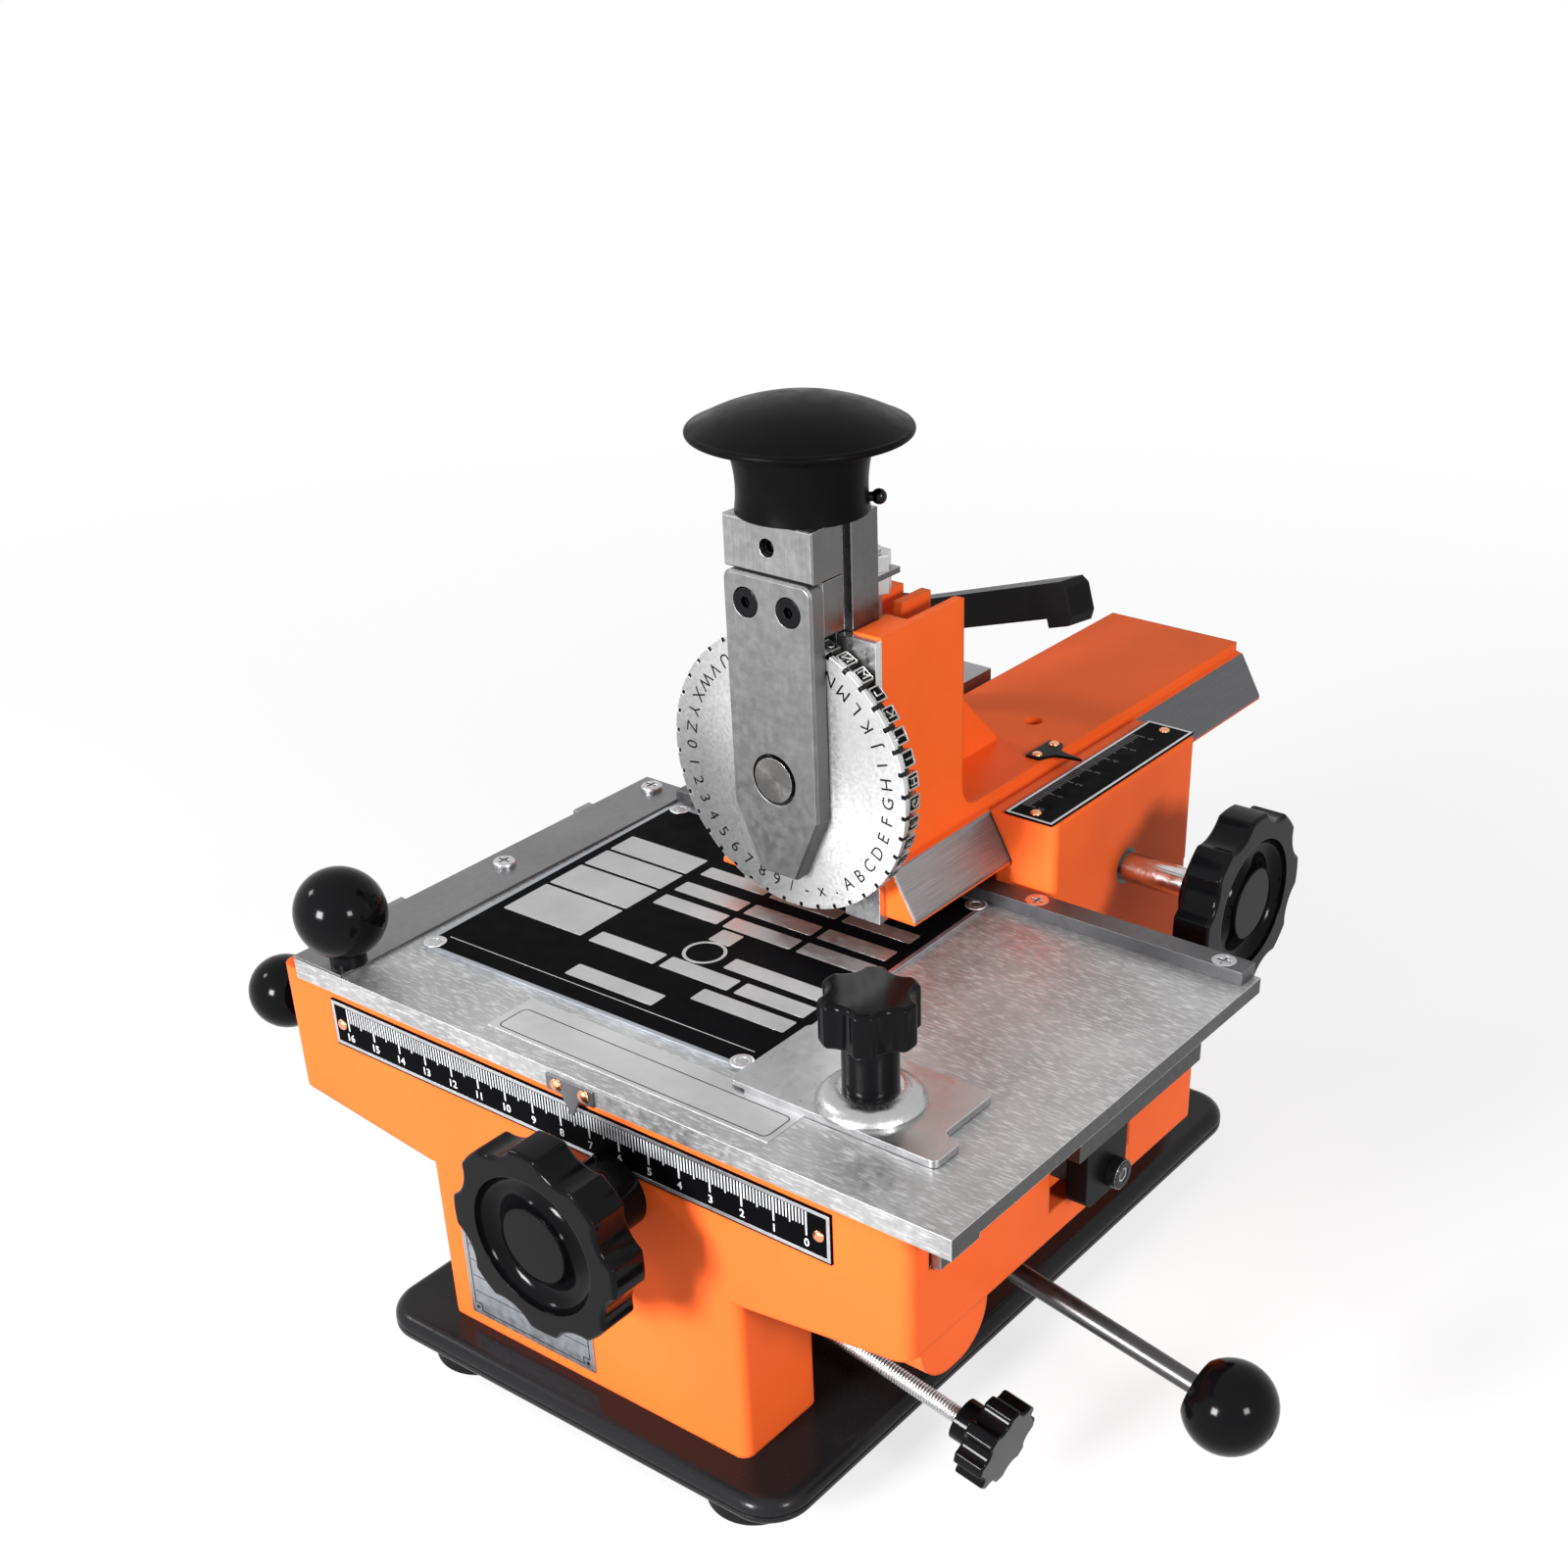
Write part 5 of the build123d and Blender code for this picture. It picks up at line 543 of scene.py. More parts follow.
class Looks:
    """The finishes of this machine."""

    ORANGE = Paint("orange_paint", (0.92, 0.134, 0.026), 0.42, gloss=0.03, shine=0.05, soft=1.3)
    ORANGE_HEAD = SlidePaint(
        "orange_paint_head", (0.92, 0.132, 0.022), 0.42, gloss=0.02, shine=0.04, soft=1.3,
    )
    ENAMEL = Paint("black_enamel", (0.01, 0.01, 0.011), 0.22, gloss=0.1, peel=0.04, shine=0.08)
    BLACK_PAINT = Paint("black_paint", (0.005, 0.005, 0.0055), 0.34, gloss=0.02, peel=0.03, shine=0.05)
    GLOSS = Plastic("black_gloss_plastic", (0.003, 0.003, 0.0035), 0.1, shine=0.085)
    SATIN = Plastic("black_satin_plastic", (0.003, 0.003, 0.003), 0.3, shine=0.03)
    RUBBER = Plastic("foot_rubber", (0.007, 0.007, 0.007), 0.55, shine=0.05)
    PRINT = Plastic("black_print", (0.002, 0.002, 0.0025), 0.4, shine=0.01, wave=0.01)
    INK = Plastic("engraved_ink", (0.004, 0.004, 0.004), 0.5, shine=0.03, wave=0.01)
    SCALE_SILVER = Metal("scale_silver", (0.52, 0.53, 0.55), 0.42, lines=0.1, scratch=0.1)
    # The flank settings below paint shade on the faces that look along X.
    TABLE = Metal(
        "table_steel", (0.42, 0.42, 0.423), 0.52, Brush.ALONG_X,
        lines=0.3, cloud=0.2, scratch=0.5, speckle=0.7, flank=0.85,
    )
    CARRIAGE = Metal("carriage_steel", (0.05, 0.05, 0.052), 0.38, Brush.ALONG_X, lines=0.4)
    STRIP = Metal("strip_steel", (0.2, 0.2, 0.205), 0.36, Brush.ALONG_Y, lines=0.4, scratch=0.5)
    BACK_STRIP = Metal("back_strip_steel", (0.12, 0.12, 0.125), 0.45, Brush.ALONG_X, lines=0.4, scratch=0.5)
    MACHINED = Metal(
        "machined_steel", (0.3, 0.3, 0.305), 0.32, Brush.ALONG_Z, lines=0.8, cloud=0.25, flank=0.6,
    )
    BLOCK = Metal("block_steel", (0.36, 0.36, 0.36), 0.34, Brush.ALONG_Z, lines=0.8, cloud=0.3, flank=0.65)
    BRACKET = Metal(
        "bracket_steel", (0.23, 0.23, 0.23), 0.42, Brush.ALONG_Z,
        lines=0.3, cloud=0.03, scratch=0.1, flank=0.4,
    )
    WAYS = Metal("way_steel", (0.26, 0.26, 0.27), 0.32, Brush.ALONG_X, lines=0.5)
    ROD = Metal("lever_rod_steel", (0.09, 0.087, 0.09), 0.34, Brush.ALONG_X, lines=0.2)
    COVER = Metal("cover_steel", (0.62, 0.62, 0.62), 0.3, Brush.ALONG_Z, lines=0.4)
    DARK = Metal("dark_steel", (0.02, 0.02, 0.022), 0.24, Brush.CAST, lines=0.3)
    SCREW = Metal("bright_screw", (0.5, 0.5, 0.51), 0.34, Brush.CAST, lines=0.2)
    SHAFT = Metal("shaft_steel", (0.6, 0.6, 0.6), 0.2, Brush.CAST, lines=0.08, cloud=0.03, scratch=0.1)
    WIRE = Metal("spring_wire", (0.3, 0.3, 0.31), 0.3, Brush.CAST, lines=0.2)
    ZINC = Metal("clamp_zinc", (0.47, 0.47, 0.475), 0.34, Brush.ALONG_X, lines=0.15, cloud=0.16, scratch=0.3)
    FOIL = Metal("label_foil", (0.54, 0.54, 0.545), 0.42, Brush.ALONG_X, lines=0.06, scratch=0.08)
    FIELD = Metal("bare_fields", (0.47, 0.47, 0.475), 0.45, Brush.ALONG_X, lines=0.1, scratch=0.1)
    PLATE = Metal("spec_aluminium", (0.36, 0.38, 0.41), 0.45, Brush.ALONG_X, lines=0.1, scratch=0.1)
    TYPE = Metal("type_blocks", (0.42, 0.42, 0.41), 0.36, Brush.CAST, lines=0.3)
    POINTER = Metal("pointer_steel", (0.2, 0.2, 0.21), 0.34, Brush.ALONG_Z, lines=0.3)
    COPPER = Metal("copper_rivet", (0.8, 0.38, 0.2), 0.26, Brush.CAST, lines=0.15, scratch=0.1)
    BUSH = Metal("bush_steel", (0.06, 0.06, 0.06), 0.34, Brush.CAST, lines=0.2)
    # Dark grey marks: painted shade, standing in for the dark surround that bright marks mirror at a low
    # angle.
    DIM = Metal("dim_marks", (0.085, 0.085, 0.09), 0.45, Brush.CAST, lines=0.1, scratch=0.0)
    MARKS = Plastic("scale_white", (0.62, 0.63, 0.65), 0.5, shine=0.3, wave=0.005)
    # The wheel face carries a painted shade on its left side.
    WHEEL = TurnedMetal(
        "wheel_face", (0.64, 0.64, 0.64), 0.46, WHEEL_HUB, rings=900.0, show=0.14, fan=0.35, turn=0.6,
    )
    PIN = TurnedMetal("pin_face", (0.24, 0.235, 0.23), 0.3, PIN_END, rings=1500.0, show=0.5)
    WASHER = TurnedMetal("washer_zinc", (0.46, 0.46, 0.46), 0.24, WASHER_SEAT, axis=2, rings=700.0, show=0.15)


class Draft:
    """Collects the mesh of one piece, in millimetres of the maker's frame."""

    def __init__(self) -> None:
        """Starts empty."""
        self.work = bmesh.new()

    def ring(self, outline: Iterable[Flat], out: float, at: Matrix) -> list[bmesh.types.BMVert]:
        """Adds a row of corners, that far out of the drawing plane."""
        return [self.work.verts.new(at @ Vector((x, y, out))) for x, y in outline]

    def skin(self, rings: Sequence[Sequence[bmesh.types.BMVert]], caps: bool = True) -> None:
        """Joins rows of corners, each closed on itself, into a surface.

        Args:
            rings: The rows, one after the other; a row of one corner is a tip.
            caps: Whether the first and last row are closed with a face.
        """
        for one, two in zip(rings, rings[1:]):
            count = max(len(one), len(two))
            for index in range(count):
                after = (index + 1) % count
                corners = [one[index % len(one)], one[after % len(one)]]
                corners += [two[after % len(two)], two[index % len(two)]]
                self.work.faces.new(list(dict.fromkeys(corners)))
        if caps:
            for end in (rings[0], rings[-1]):
                if len(end) > 2:
                    self.work.faces.new(end)

    def prism(self, outline: Sequence[Flat], low: float, high: float, at: Matrix) -> None:
        """Adds a straight prism between those heights over the drawing plane."""
        self.skin([self.ring(outline, out, at) for out in (low, high)])

    def bar(self, x0: float, x1: float, y0: float, y1: float, low: float, high: float, at: Matrix) -> None:
        """Adds a straight bar between those limits of the drawing plane."""
        self.prism(rectangle(x0, x1, y0, y1), low, high, at)

    def frame(
        self, outer: Sequence[Flat], inner: Sequence[Flat], low: float, high: float, at: Matrix
    ) -> None:
        """Adds a flat frame between two outlines with as many points each.

        Args:
            outer: The outer outline.
            inner: The inner outline.
            low: How far out of the plane it starts.
            high: How far out it ends.
            at: The drawing plane.
        """
        sides = ((outer, low), (outer, high), (inner, high), (inner, low))
        rows = [self.ring(outline, out, at) for outline, out in sides]
        self.skin([*rows, rows[0]], caps=False)

    def sleeve(self, profile: Sequence[Flat], at: Matrix, steps: int) -> None:
        """Adds a turned body with a bore, from pairs of radius and height once round its section."""
        rows = [self.ring(circle(radius, steps), height, at) for radius, height in profile]
        self.skin([*rows, rows[0]], caps=False)

    def turned(self, profile: Sequence[Flat], at: Matrix, steps: int) -> None:
        """Adds a turned body, from pairs of radius and height along its axis."""
        rows = ((circle(radius, steps if radius > 0 else 1), height) for radius, height in profile)
        self.skin([self.ring(outline, height, at) for outline, height in rows])

    def disc(self, radius: float, low: float, high: float, at: Matrix, steps: int) -> None:
        """Adds a round disc or bar on the drawing plane's axis."""
        self.turned([(0.0, low), (radius, low), (radius, high), (0.0, high)], at, steps)

    def word(self, text: str, height: float, low: float, high: float, at: Matrix, bold: float = 0.0) -> None:
        """Adds characters, centred on the drawing plane's origin.

        Args:
            text: The characters.
            height: How tall a capital is.
            low: How far out of the plane they start.
            high: How far out they end.
            at: The drawing plane.
            bold: How far its strokes are widened on each side.
        """
        curve = bpy.data.curves.new("characters", "FONT")
        curve.body = text
        curve.size = height / CAPITAL_SHARE
        curve.align_x, curve.align_y = "CENTER", "CENTER"
        curve.extrude = (high - low) / 2
        curve.offset = bold
        curve.resolution_u = 3
        holder = bpy.data.objects.new("characters", curve)
        bpy.context.scene.collection.objects.link(holder)
        bpy.context.view_layer.update()
        shown = holder.evaluated_get(bpy.context.evaluated_depsgraph_get())
        mesh = bpy.data.meshes.new_from_object(shown)
        mesh.transform(at @ Matrix.Translation((0, 0, (low + high) / 2)))
        self.work.from_mesh(mesh)
        bpy.data.objects.remove(holder)
        bpy.data.curves.remove(curve)
        bpy.data.meshes.remove(mesh)

    def piece(
        self, name: str, body: str, slot: str, finish: Finish, replaces: Sequence[str] = (),
        smooth: float = 35,
    ) -> None:
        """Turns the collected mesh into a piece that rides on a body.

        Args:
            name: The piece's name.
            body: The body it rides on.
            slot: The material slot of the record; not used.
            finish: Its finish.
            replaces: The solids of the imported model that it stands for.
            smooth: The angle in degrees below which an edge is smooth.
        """
        to_model = Matrix.Scale(METRES, 4) @ Matrix.Translation(-ORIGIN)
        bmesh.ops.transform(self.work, matrix=to_model, verts=self.work.verts)
        bmesh.ops.recalc_face_normals(self.work, faces=self.work.faces)
        mesh = bpy.data.meshes.new(name)
        self.work.to_mesh(mesh)
        self.work.free()
        mesh.polygons.foreach_set("use_smooth", [True] * len(mesh.polygons))
        mesh.set_sharp_from_angle(angle=math.radians(smooth))
        mesh.materials.append(finish.material())
        made = bpy.data.objects.new(name, mesh)
        bpy.context.scene.collection.objects.link(made)
        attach(made, body)
        if replaces:
            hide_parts(*replaces)
        LOG.info("%s: %d faces on %s", name, len(mesh.polygons), body)


@dataclass(frozen=True)
class Rivets:
    """Domed copper rivets that stand for the plain ones of the model.

    Attributes:
        scale: The radius of a head on the scales.
        front: The radius of a head on the table's pointer.
        rear: The radius of a head on the head's pointer.
        rise: The height of a head.
    """

    scale: float = 1.7
    front: float = 1.9
    rear: float = 1.6
    rise: float = 0.9

    def build(self) -> None:
        """Builds the rivets of both scales and of both pointers."""
        low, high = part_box("pointer_rivets")
        flat = min(self.rise, (high.y - low.y) / METRES)
        scales = [front_plane(x, 1.2, -0.8) for x in (-82.6, 83.7)]
        scales += [top_plane(46.5, y, 43.0) for y in (147.0, 218.0)]
        front = [front_plane(x, 14.8, -3.7) for x in (2.8, 12.2)]
        rear = [top_plane(28.0, y, 45.7) for y in (175.8, 185.0)]
        for name, body, places, radius, rise, solids in (
            ("scale_rivet_heads", "stand", scales, self.scale, self.rise, "scale_rivets"),
            ("pointer_rivet_heads", "table", front, self.front, flat, "pointer_rivets"),
            ("head_rivet_heads", "head", rear, self.rear, self.rise, "head_pointer_rivets"),
        ):
            draft = Draft()
            for place in places:
                draft.turned([(0.0, 0.0), *dome(radius, rise)], place, 24)
            draft.piece(name, body, "copper_rivet", Looks.COPPER, [solids])


@dataclass(frozen=True)
class Scale:
    """The marks, numerals and border of one graduated strip.

    Attributes:
        name: The piece's name.
        zero: The drawing plane with its origin at the foot of the mark of zero.
        body: The body it rides on.
        count: The highest numeral.
        step: Which way along the plane the numerals grow, 1 or -1.
        top: The end of the short marks above the origin.
        foots: Where the marks of 1, 5 and 10 millimetres end.
        numeral: The height of the middle of the numerals.
        tall: How tall a numeral is.
        border: The limits of the border in the plane: left, right, lower and upper.
        width: The width of the border.
        line: The width of a mark.
        heavy: How much wider the marks of 10 millimetres are.
        rise: How far the marks stand out.
        marks: The finish of the marks and numerals.
        bold: How far the strokes of the numerals are widened.
    """

    name: str
    zero: Matrix
    body: str
    count: int
    step: int
    top: float
    foots: tuple[float, float, float]
    numeral: float
    tall: float
    border: Limits
    width: float = 1.0
    line: float = 0.42
    heavy: float = 1.25
    rise: float = 0.05
    marks: Finish = Looks.MARKS
    bold: float = 0.06

    def build(self) -> None:
        """Builds the strip's marks and its border as two thin raised pieces."""
        draft = Draft()
        for mark in range(self.count * 10 + 1):
            x, full = self.step * mark, mark % 10 == 0
            foot = self.foots[2] if full else self.foots[1] if mark % 5 == 0 else self.foots[0]
            half = self.line / 2 * (self.heavy if full else 1.0)
            draft.bar(x - half, x + half, foot, self.top, 0.0, self.rise, self.zero)
        for number in range(self.count + 1):
            at = self.zero @ Matrix.Translation((self.step * number * 10, self.numeral, 0))
            draft.word(str(number), self.tall, 0.0, self.rise, at, self.bold)
        draft.piece(self.name, self.body, "plate_silver", self.marks)
        border = Draft()
        outer, inner = rectangle(*self.border), rectangle(*self.border, self.width)
        border.frame(outer, inner, 0.0, self.rise, self.zero)
        border.piece(self.name + "_border", self.body, "plate_silver", Looks.SCALE_SILVER)


@dataclass(frozen=True)
class SpecPlate:
    """The border of the plate low on the pillar, which is left blank.

    Attributes:
        left: Its left side.
        right: Its right side.
        low: Its lower side.
        high: Its upper side.
        face: Where its face lies along Y.
        ink: How thick its print is.
        inset: How far in its line runs.
        line: How wide that line is.
        notch: The side of the nicks at the corners of the line.
        dot: The radius of the dots in the corners.
        dot_inset: How far in from the line their middles lie.
        margin: How far in the ruled rows end.
        rule: How wide a ruled line is.
        rows: The heights of the ruled rows, from the top.
        upright: The sides of the upright line between them.
    """

    left: float = -46.0
    right: float = 2.0
    low: float = -82.0
    high: float = -49.0
    face: float = -0.5
    ink: float = 0.03
    inset: float = 1.6
    line: float = 0.3
    notch: float = 2.4
    dot: float = 0.55
    dot_inset: float = 0.9
    margin: float = 2.2
    rule: float = 0.22
    rows: tuple[float, ...] = (-57.0, -62.5, -68.0, -73.5)
    upright: Flat = (-12.2, -12.0)

    def nicked(self, inset: float) -> list[Flat]:
        """Draws an outline with nicked corners.

        Args:
            inset: How far in from the plate's own outline it runs.

        Returns:
            The outline.
        """
        x0, x1, y0, y1 = self.left + inset, self.right - inset, self.low + inset, self.high - inset
        n = self.notch
        return [
            (x0 + n, y0), (x1 - n, y0), (x1 - n, y0 + n), (x1, y0 + n), (x1, y1 - n), (x1 - n, y1 - n),
            (x1 - n, y1), (x0 + n, y1), (x0 + n, y1 - n), (x0, y1 - n), (x0, y0 + n), (x0 + n, y0 + n),
        ]

    def build(self) -> None:
        """Builds the line with nicked corners, plain ruled rows, and a dot in each corner."""
        plane = front_plane(0, 0, self.face)
        draft = Draft()
        draft.frame(self.nicked(self.inset), self.nicked(self.inset + self.line), 0.0, self.ink, plane)
        corner = self.inset + self.dot_inset
        for x in (self.left + corner, self.right - corner):
            for z in (self.low + corner, self.high - corner):
                draft.disc(self.dot, 0.0, self.ink, front_plane(x, z, self.face), 16)
        for z in self.rows:
            start, stop = self.left + self.margin, self.right - self.margin
            draft.bar(start, stop, z, z + self.rule, 0.0, self.ink, plane)
        draft.bar(*self.upright, self.rows[-1], self.rows[0], 0.0, self.ink, plane)
        draft.piece("spec_plate_lines", "stand", "scale_black", Looks.INK)


@dataclass(frozen=True)
class Nameplate:
    """The printed face of the plate that lies on the table, with empty fields, and its eyelets.

    Attributes:
        centre: The middle of the plate.
        turn: How far it lies turned, in degrees.
        top: The height of its face.
        half_width: Half its width.
        half_depth: Half its depth.
        margin: The bare margin round the print.
        corner: The radius of the print's corners.
        ink: How far the print reaches into the plate, and how far it stands over its face.
        raised: How far the bare fields stand over that face.
        field_corner: The radius of their corners.
        eyelets: The middles of its four eyelets.
        collar: The section of an eyelet, as pairs of radius and height.
        floor: The height of the disc in its hole.
        left_column: The sides of the wide fields on the left.
        left_rows: The lower and upper side of each of them.
        columns: The sides of the three columns beside them.
        rows: The lower and upper side of the fields in those columns.
        others: The limits of the remaining fields: left, right, lower and upper.
        ring: The middle of the bare ring.
        ring_radii: Its outer and inner radius.
        rule: The limits of the line under the fields.
    """

    centre: Flat = (-16.0, 76.9)
    turn: float = 1.2
    top: float = 19.4
    half_width: float = 58.7
    half_depth: float = 54.0
    margin: float = 1.5
    corner: float = 2.4
    ink: Flat = (0.02, 0.012)
    raised: float = 0.022
    field_corner: float = 0.5
    eyelets: tuple[Flat, ...] = ((-70.5, 25.2), (-71.6, 128.2), (38.7, 129.2), (38.4, 26.6))
    collar: tuple[Flat, ...] = ((1.7, 0.0), (3.3, 0.0), (3.2, 0.035), (2.5, 0.06), (1.9, 0.05), (1.6, 0.0))
    floor: float = 0.02
    left_column: Flat = (-54.0, -24.6)
    left_rows: tuple[Flat, ...] = ((19.6, 29.8), (8.2, 18.4), (-6.6, 7.0), (-25.6, -7.8))
    columns: tuple[Flat, ...] = ((-21.0, 2.4), (4.4, 28.0), (30.2, 53.4))
    rows: tuple[Flat, ...] = ((21.6, 27.2), (10.0, 16.2), (0.6, 6.8), (-26.4, -20.2))
    others: tuple[Limits, ...] = (
        (6.0, 13.4, -7.4, -0.6), (19.4, 53.4, -17.4, -11.4), (22.6, 53.4, -35.0, -28.8),
        (-14.0, 16.6, -43.6, -37.4),
    )
    ring: Flat = (10.0, -13.6)
    ring_radii: Flat = (6.2, 5.2)
    rule: Limits = (-54.0, 53.4, -46.4, -46.1)

    def plane(self) -> Matrix:
        """Sets up the drawing plane of the plate's own face.

        Returns:
            The plane.
        """
        turn = math.radians(self.turn)
        right, up = (math.cos(turn), math.sin(turn), 0), (-math.sin(turn), math.cos(turn), 0)
        return facing((*self.centre, self.top), right, up)

    def fields(self) -> list[Limits]:
        """Lists the bare fields.

        Returns:
            The limits of each: left, right, lower and upper.
        """
        wide = [(*self.left_column, *line) for line in self.left_rows]
        small = [(*column, *line) for line in self.rows for column in self.columns]
        return [*wide, *small, *self.others]

    def build(self) -> None:
        """Builds the black print, the bare fields on it, the ring and the eyelets."""
        plane = self.plane()
        x, y = self.half_width - self.margin, self.half_depth - self.margin
        ground = Draft()
        ground.prism(rounded(-x, x, -y, y, self.corner), -self.ink[0], self.ink[1], plane)
        ground.piece("nameplate_print", "table", "scale_black", Looks.PRINT)
        bare = Draft()
        for limits in self.fields():
            bare.prism(rounded(*limits, self.field_corner, 2), 0.0, self.raised, plane)
        outer, inner = (circle(radius, 48) for radius in self.ring_radii)
        bare.frame(outer, inner, 0.0, self.raised, plane @ Matrix.Translation((*self.ring, 0)))
        bare.bar(*self.rule, 0.0, self.raised, plane)
        bare.piece("nameplate_fields", "table", "plate_silver", Looks.FIELD)
        eyelets = Draft()
        for place in self.eyelets:
            at = top_plane(*place, self.top)
            eyelets.sleeve(self.collar, at, 28)
            eyelets.disc(self.collar[-1][0], 0.0, self.floor, at, 20)
        eyelets.piece("nameplate_eyelets", "table", "plate_silver", Looks.SCREW)


@dataclass(frozen=True)
class BlankLabel:
    """The thin outline on the foil label in front, which is left blank.

    Attributes:
        left: The left side of the outline.
        right: Its right side.
        front: Its front side.
        back: Its back side.
        top: The height of the foil.
        corner: The radius of its corners.
        line: How wide it is.
        ink: How thick it is.
    """

    left: float = -25.2
    right: float = 64.4
    front: float = 4.2
    back: float = 14.6
    top: float = 18.75
    corner: float = 1.8
    line: float = 0.3
    ink: float = 0.012

    def build(self) -> None:
        """Builds the outline."""
        draft = Draft()
        left, right, front, back = self.left, self.right, self.front, self.back
        outer = rounded(left, right, front, back, self.corner)
        line = self.line
        inner = rounded(left + line, right - line, front + line, back - line, self.corner - line)
        draft.frame(outer, inner, 0.0, self.ink, top_plane(0, 0, self.top))
        draft.piece("label_outline", "table", "scale_black", Looks.INK)


@dataclass(frozen=True)
class TypeWheel:
    """The wheel of forty characters, with a raised type block behind each of them.

    Attributes:
        hub: The point on its axis in its front face.
        radius: Its outer radius.
        thick: Its thickness.
        face: The thickness of its front disc.
        drum: The radius under the blocks.
        bore: The radius of its hole.
        notch: The width and depth of the nicks in the disc.
        first: Where the outline of the disc starts, and so that of its hole, in radians.
        web: Half the width of the dark webs between the blocks, painted shade in the gaps.
        web_rim: How far they end in from the rim.
        web_ends: How far they reach back from the disc, and how far behind its face they start.
        seat: The radius on which the blocks stand.
        back: How far back from the middle of the wheel's edge they stand.
        root: How far they reach in.
        half: Half the width and half the depth of a block.
        wall: How thick the rim of a block is.
        rim: How high it is.
        corners: The radius of its corners, outside and inside.
        dark: How thick the dark floor in it is, and how far that runs under it.
        type_size: How tall the character of a block is, and how high it stands.
        printed: The radius on which the printed characters stand.
        print_size: How tall they are, and how thick.
        characters: What it carries, anticlockwise from G on the right.
    """

    hub: Point = WHEEL_HUB
    radius: float = 38.8
    thick: float = 7.0
    face: float = 1.5
    drum: float = 35.6
    bore: float = 6.25
    notch: Flat = (1.3, 1.3)
    first: float = -0.06
    web: float = 0.9
    web_rim: float = 0.1
    web_ends: Flat = (0.6, 0.35)
    seat: float = 37.9
    back: float = 0.15
    root: float = 2.6
    half: Flat = (2.15, 2.35)
    wall: float = 0.4
    rim: float = 0.6
    corners: Flat = (0.4, 0.3)
    dark: Flat = (0.08, 0.01)
    type_size: Flat = (2.7, 0.85)
    printed: float = 33.4
    print_size: Flat = (3.7, 0.02)
    characters: str = "GHIJKLMNOPQRSTUVWXYZ0123456789/-x.ABCDEF"

    def pitch(self) -> float:
        """Returns the angle in radians from one character to the next."""
        return 2 * math.pi / len(self.characters)

    @staticmethod
    def inward(plane: Matrix, turn: float, away: float = 0.0) -> Matrix:
        """Returns the wheel's plane turned to face the hub from that angle, its origin that far away."""
        x, y = polar(1.0, turn)
        return plane @ facing((away * x, away * y, 0), (-y, x, 0), (-x, -y, 0))

    def disc(self, draft: Draft, plane: Matrix) -> None:
        """Adds the front disc with its nicks.

        Args:
            draft: The mesh that gets it.
            plane: The drawing plane of the wheel.
        """
        outline = []
        half, pitch = self.notch[0] / 2 / self.radius, self.pitch()
        for index in range(len(self.characters)):
            start = pitch * (index - 0.5)
            turns = [start + half + (pitch - 2 * half) * step / 4 for step in range(5)]
            outline += [polar(self.radius, turn) for turn in turns]
            nick = (start + pitch - half, start + pitch + half)
            outline += [polar(self.radius - self.notch[1], turn) for turn in nick]
        hole = circle(self.bore, len(outline), self.first)
        draft.frame(outline, hole, -self.face, 0.0, plane)

    def block(self, draft: Draft, floors: Draft, plane: Matrix, turn: float, character: str) -> None:
        """Adds one type block with its raised rim and reversed character.

        Args:
            draft: The mesh that gets it.
            floors: The mesh that gets its dark sunk floor.
            plane: The drawing plane of the wheel.
            turn: Where it stands on the rim, in radians.
            character: Its character.
        """
        x, y = polar(1.0, turn)
        middle = -(self.face + self.thick) / 2 - self.back
        local = plane @ facing((self.seat * x, self.seat * y, middle), (y, -x, 0), (0, 0, -1))
        wide, deep = self.half
        draft.bar(-wide, wide, -deep, deep, -self.root, 0.0, local)
        outer = rounded(-wide, wide, -deep, deep, self.corners[0], 2)
        wide, deep = wide - self.wall, deep - self.wall
        inner = rounded(-wide, wide, -deep, deep, self.corners[1], 2)
        draft.frame(outer, inner, 0.0, self.rim, local)
        tall, high = self.type_size
        draft.word(character, tall, 0.0, high, local @ Matrix.Scale(-1, 4, (1, 0, 0)))
        thick, lap = self.dark
        floors.prism(rectangle(-wide, wide, -deep, deep, -lap), 0.0, thick, local)

    def build(self) -> None:
        """Builds the wheel, its printed characters and its blocks."""
        plane = front_plane(self.hub[0], self.hub[2], self.hub[1])
        disc = Draft()
        self.disc(disc, plane)
        disc.piece("type_wheel_disc", "type_wheel", "wheel_steel", Looks.WHEEL, ["type_wheel"], 25)
        drum, blocks, letters, floors = Draft(), Draft(), Draft(), Draft()
        near, far = -self.face, -self.thick
        tall, ink = self.print_size
        behind, under = self.web_ends
        # The drum and its webs are near black: painted shade in the gaps between the blocks.
        drum.sleeve([(self.bore, near), (self.drum, near), (self.drum, far), (self.bore, far)], plane, 80)
        for index, character in enumerate(self.characters):
            turn = self.pitch() * index
            gap = self.inward(plane, turn + self.pitch() / 2)
            drum.bar(-self.web, self.web, self.web_rim - self.radius, -self.drum, near - behind, -under, gap)
            self.block(blocks, floors, plane, turn, character)
            letters.word(character, tall, 0.0, ink, self.inward(plane, turn, self.printed))
        drum.piece("type_wheel_drum", "type_wheel", "dark_steel", Looks.DARK)
        blocks.piece("type_blocks", "type_wheel", "wheel_steel", Looks.TYPE)
        floors.piece("type_block_floors", "type_wheel", "dark_steel", Looks.INK)
        letters.piece("type_wheel_characters", "type_wheel", "scale_black", Looks.INK)


